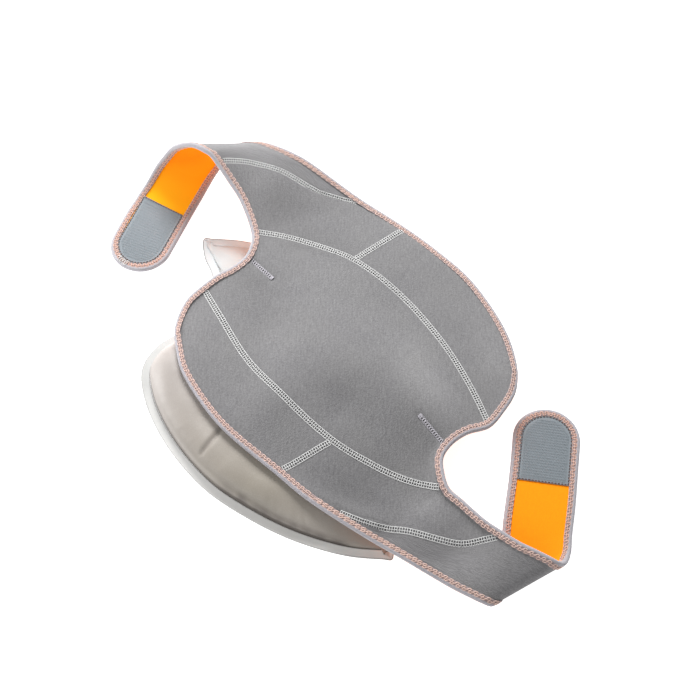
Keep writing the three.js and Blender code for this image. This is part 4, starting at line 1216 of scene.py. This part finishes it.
def stretched(flat, longer):
    """The patch drawn out at its straight end, by one length on the far side and another on the near side."""
    out = flat.copy()
    share = np.clip(-flat[:, 1] / (HOOK_LENGTH - HOOK_HALF_WIDTH), 0, 1)
    out[:, 1] -= share * (longer[0] + (longer[1] - longer[0]) * (flat[:, 0] / HOOK_HALF_WIDTH + 1) / 2)
    return out


class TipGround:
    """Height of the cloth under the hook patch of a strap."""

    def __init__(self, name):
        self.spots = cloth[place[name][-TIP_ROWS - 45:].ravel()]
        self.tree = near_tree(self.spots * (1, 1, 0))

    def height(self, xy):
        out = []
        for x, y in xy:
            near = self.tree.find_n((x, y, 0.0), 6)
            weight = np.array([1 / (d + 0.3) for _, _, d in near])
            out.append((weight * self.spots[[i for _, i, _ in near], 2]).sum() / weight.sum())
        return np.array(out)


def hook_spots(longer):
    """Feet of the hooks on the patch, and the way each leans."""
    spots, leans = [], []
    for row, ahead in enumerate(np.arange(HOOK_HALF_WIDTH - HOOK_LENGTH + HOOK_MARGIN, HOOK_HALF_WIDTH - 3.2,
                                          HOOK_ROW_STEP)):
        half = HOOK_HALF_WIDTH - HOOK_MARGIN
        if ahead > 0:
            half = math.sqrt(max(half**2 - ahead**2, 0.0))
        asides = np.arange(-21.6, 21.7, HOOK_STEP) + 0.5 * (row % 3)
        asides = asides[np.abs(asides) < half]
        spots += [(aside, ahead) for aside in asides]
        leans += [HOOK_LEAN if row % 2 else -HOOK_LEAN] * len(asides)
    return stretched(np.array(spots), longer), leans


def hook_patch(half, tip, longer):
    heading, near, centre = tip_frame(tip)
    ground = TipGround(half + "_strap")

    def in_plan(flat):
        return centre[:2] + flat[:, :1] * near[:2] + flat[:, 1:2] * heading[:2]

    def set_out(flat, lift):
        xy = in_plan(flat)
        return np.concatenate([xy, (ground.height(xy) + HOOK_BACK + lift)[:, None]], 1)

    flats = [hook_outline(inset, longer) for inset, _ in PATCH_RINGS]
    points = [set_out(flat, z) for flat, (_, z) in zip(flats, PATCH_RINGS)]
    uv = [np.concatenate(flats)]
    count = len(uv[0])
    ids = np.arange(count).reshape(len(PATCH_RINGS), -1)
    faces = np.roll(ring_quads(ids), -1, axis=1).tolist()
    faces += [ids[-1].tolist(), ids[0][::-1].tolist()]
    spots, leans = hook_spots(longer)
    foot = set_out(spots, HOOK_TAPE - 0.06)[:, 2]
    turn = np.arange(4) * math.pi / 2 + math.pi / 4
    for (aside, ahead), lean, z in zip(spots, leans, foot):
        for reach, rise, radius in HOOK_SHAPE:
            flat = np.stack([aside + radius * np.cos(turn), ahead + lean * reach + radius * np.sin(turn)], 1)
            points.append(np.concatenate([in_plan(flat), np.full((4, 1), z + rise)], 1))
            uv.append(flat)
        ids = count + np.arange(16).reshape(4, 4)
        faces += ring_quads(ids)[:, ::-1].tolist() + [ids[-1].tolist(), ids[0][::-1].tolist()]
        count += 16
    name = half + "_hook_pad"
    piece = add_piece(name, np.concatenate(points), faces, [HOOK_PLASTIC], np.concatenate(uv), sharp=40)
    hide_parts(half + "_hook_patch")
    sewing = Sewing(5)
    flat = hook_outline(1.0, longer, 60)
    line = set_out(np.concatenate([flat, flat[:1]]), HOOK_TAPE)
    up = np.broadcast_to((0.0, 0.0, 1.0), line.shape)
    dashes(sewing, seam_frame(line, up, 0.5), 0.12, PATCH_THREAD, PATCH_PITCH)
    return [piece, sewing.piece(name + "_stitches", BROWN_THREAD)]


upper_hook_pieces = hook_patch("upper", UPPER_TIP, (3.0, 9.0))
lower_hook_pieces = hook_patch("lower", LOWER_TIP, (0.0, 0.0))


def closed_even(line, count):
    loop = np.concatenate([line, line[:1]])
    run = lengths(loop)
    at = np.linspace(0, run[-1], count, endpoint=False)
    return read_at(run, loop, at)


def pack_outline(count):
    turned = 2 * PACK_CENTRE - PACK_HALF_OUTLINE
    ring = np.concatenate([PACK_HALF_OUTLINE, turned])
    m = len(ring)
    wrapped = np.concatenate([ring[-3:], ring, ring[:4]])
    table = np.concatenate([wrapped, np.zeros((len(wrapped), 1))], 1)
    fine = curve(table, np.linspace(3, 3 + m, 40 * m, endpoint=False))[:, :2]
    return closed_even(fine, count)


def drawn_in(outline, distance):
    along = unit(np.roll(outline, -1, axis=0) - np.roll(outline, 1, axis=0))
    return outline + distance * np.stack([-along[:, 1], along[:, 0]], 1)


pack_edge = pack_outline(PACK_COUNT)
pack_weld = drawn_in(pack_edge, PACK_RIM_WIDTH)


def pack_height(xy, around):
    """Filled film: full in the middle, drawn down to the weld with small puckers."""
    away = nearest(xy, pack_weld)
    shoulder = PACK_SHOULDER - 12 * hump(xy, (20, -186), 120, 26, 0)
    rise = np.minimum(away / shoulder, 1)
    drop = np.ones(len(xy))
    for tab in PACK_TABS:
        drop -= PACK_TAB_DROP * np.exp(-(np.linalg.norm(xy - tab, axis=1) / PACK_TAB_REACH)**2)
    z = PACK_RIM_THICKNESS + (PACK_HEIGHT - PACK_RIM_THICKNESS) * np.sqrt(1 - (1 - rise)**2) * drop
    pucker = np.array([noise.noise(Vector((a / 5.2, 4.0, d / 60))) for a, d in zip(around, away)])
    swell = np.array([noise.noise(Vector((x / 34, y / 34, 2.0))) for x, y in xy])
    z += pucker * PUCKER_HEIGHT * np.exp(-((away - PUCKER_REACH) / PUCKER_REACH)**2) * smooth_step(away / 4)
    z += (swell - 0.25) * SWELL_HEIGHT * smooth_step(away / 12)
    from_crease = to_segment(xy, PACK_CREASE)[0]
    z -= CREASE_DEPTH * np.exp(-(from_crease / CREASE_REACH)**2) * smooth_step(away / 8)
    return np.clip(z, PACK_RIM_THICKNESS, PACK_HEIGHT)


def gel_pillow():
    n = PACK_COUNT
    edge_run = lengths(np.concatenate([pack_weld, pack_weld[:1]]))[:-1]
    inner = drawn_in(pack_edge, PACK_RIM_WIDTH + 0.3)
    points = [np.concatenate([inner, np.full((n, 1), 0.0)], 1)]
    marks = [np.full(n, 1.0)]
    for share in PACK_SHARES:
        flat = PACK_CENTRE + (inner - PACK_CENTRE) * share
        z = pack_height(flat, edge_run) if share < 1 else np.full(n, PACK_RIM_THICKNESS)
        away = np.linalg.norm(flat - inner, axis=1)
        points.append(np.concatenate([flat, z[:, None]], 1))
        line = 0.75 * np.exp(-(away / 0.8)**2) * (1 - 0.9 * hump(flat, PACK_TABS[0], 85, 85, 0))
        dark = np.min([to_segment(flat, PACK_SHADE_FOOT[k:k + 2])[0] for k in range(len(PACK_SHADE_FOOT) - 1)], axis=0)
        patchy = np.array([0.7 + 0.8 * noise.noise(Vector((x / 13, y / 13, 5.0))) for x, y in flat])
        # Painted shade: a patchy dark band along the foot of the pillow wall on the near side.
        painted_foot_shade = 0.85 * np.exp(-((away - 1.5) / 3.4)**2 - (dark / 13)**2) * np.clip(patchy, 0.3, 1)
        # Painted shade along the crease of the film.
        painted_crease_shade = 0.28 * np.exp(-(to_segment(flat, PACK_CREASE)[0] / 2.2)**2)
        marks.append(np.clip(line + painted_foot_shade + painted_crease_shade, 0, 0.9))
    points.append(np.array([(*PACK_CENTRE, PACK_HEIGHT - 0.4), (*PACK_CENTRE, 0.0)]))
    rows = len(PACK_SHARES) + 1
    ids = np.arange(rows * n).reshape(rows, n)
    nxt = np.roll(ids, -1, axis=1)
    top, under = rows * n, rows * n + 1
    faces = ring_quads(ids).tolist()
    faces += [(a, b, top) for a, b in zip(ids[-1], nxt[-1])]
    faces += [(b, a, under) for a, b in zip(ids[0], nxt[0])]
    marks = np.concatenate(marks + [np.zeros(2)])
    return add_piece("gel_pack_pillow", np.concatenate(points), faces, [PACK_FILM],
                     measures={"weld": marks}, sharp=60)


def pack_rim():
    n = PACK_COUNT
    run = lengths(np.concatenate([pack_edge, pack_edge[:1]]))[:-1]
    wave = np.array([noise.noise(Vector((a / 14, 1.0, 0.0))) for a in run])
    profile = [(PACK_RIM_WIDTH, 0.0), (0.3, 0.0), (0.0, 0.35), (0.2, 0.8), (0.9, 0.88), (1.2, 0.9), (3.0, 0.95),
               (6.0, 1.05), (7.6, 1.25), (8.4, 1.3), (PACK_RIM_WIDTH, 1.05)]
    by_tab = sum(np.exp(-(np.linalg.norm(pack_edge - tab, axis=1) / 50)**2) for tab in PACK_TABS)
    points, cut = [], []
    for inset, z in profile:
        lift = 0.0 if z == 0 else 0.18 * wave * (1 - inset / PACK_RIM_WIDTH)
        points.append(np.concatenate([drawn_in(pack_edge, inset), (z + lift + np.zeros(n))[:, None]], 1))
        cut.append((0.25 + 0.6 * by_tab) if inset < 1.0 else np.zeros(n))
    ids = np.arange(len(profile) * n).reshape(-1, n)
    faces = ring_quads(np.concatenate([ids, ids[:1]])).tolist()
    return add_piece("gel_pack_welded_rim", np.concatenate(points), faces, [RIM_FILM],
                     measures={"cut_edge": np.clip(np.concatenate(cut), 0, 1)}, sharp=70)


pillow = gel_pillow()
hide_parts("gel_pack")
rim = pack_rim()
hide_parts("gel_pack_rim")


def tip_bartack(path):
    """Pale to-and-fro stitches where the two tapes meet at the upper strap tip."""
    framed = bound_frame(path)
    sewing = Sewing(5)
    for phase in (0.0, 0.37):
        zigzag(sewing, framed, 2.0, TACK_LENGTH, TACK_PITCH, 1.6, 7.8, phase, -2.55, TACK_THREAD, -0.25)
    return sewing.piece("upper_tip_bartack", PALE_THREAD)


upper_tip_bartack = tip_bartack(lower_path[::-1] if lower_path[-1] == first_path[0] else lower_path)


def pale_floor():
    tree = Finish("pale_studio_floor", Specular_IOR_Level=0.1, Emission_Strength=0.84, Emission_Color=(1.0, 1.0, 1.0))
    drift = tree.effect(DRIFT, Vector=tree.coordinate("Object"), Size=0.4)["Drift"]
    mesh = bpy.data.meshes.new("studio_floor")
    mesh.from_pydata([(-40, -40, 0), (40, -40, 0), (40, 40, 0), (-40, 40, 0)], [], [(0, 1, 2, 3)])
    mesh.materials.append(tree.done(tree.mix(drift, (0.84, 0.84, 0.84), (0.87, 0.87, 0.87)), (drift, 0.7, 0.8)))
    placed("studio_floor", mesh)


def aimed(way):
    return way.to_track_quat("-Z", "Y").to_euler()


def soft_light(name, point, target, size, watts):
    data = bpy.data.lights.new(name, "AREA")
    data.shape = "DISK"
    data.size = size
    data.energy = watts
    lamp = placed(name, data)
    lamp.location = point
    lamp.rotation_euler = aimed(Vector(target) - Vector(point))


def studio():
    pale_floor()
    soft_light("key_light", (-1.39, 1.11, 1.31), (0, 0, 0.02), 0.9, 83)
    soft_light("fill_light", (0.02, -1.73, 1.37), (0, 0, 0.02), 1.6, 19)
    soft_light("strap_card", (-0.52, -0.40, 0.17), (-0.24, 0.04, 0.045), 0.25, 1.7)
    world = bpy.data.worlds.new("studio_air")
    world.use_nodes = True
    back = world.node_tree.nodes["Background"]
    back.inputs["Color"].default_value = (1.0, 1.0, 1.0, 1.0)
    back.inputs["Strength"].default_value = 0.34
    bpy.context.scene.world = world
    bpy.context.scene.view_settings.view_transform = "Standard"


def photo_camera():
    data = bpy.data.cameras.new("photo_camera")
    data.sensor_width = SENSOR_WIDTH
    data.lens = SENSOR_WIDTH * PHOTO_FOCUS / PHOTO_WIDTH
    data.shift_x, data.shift_y = (shift / PHOTO_WIDTH for shift in PHOTO_SHIFT)
    level = math.cos(VIEW_RISE)
    back = Vector((math.sin(VIEW_TURN) * level, -math.cos(VIEW_TURN) * level, math.sin(VIEW_RISE)))
    camera = placed("photo_camera", data)
    camera.location = Vector(VIEW_TARGET) + VIEW_AWAY * back
    camera.rotation_euler = aimed(-back)
    bpy.context.scene.camera = camera


studio()
photo_camera()
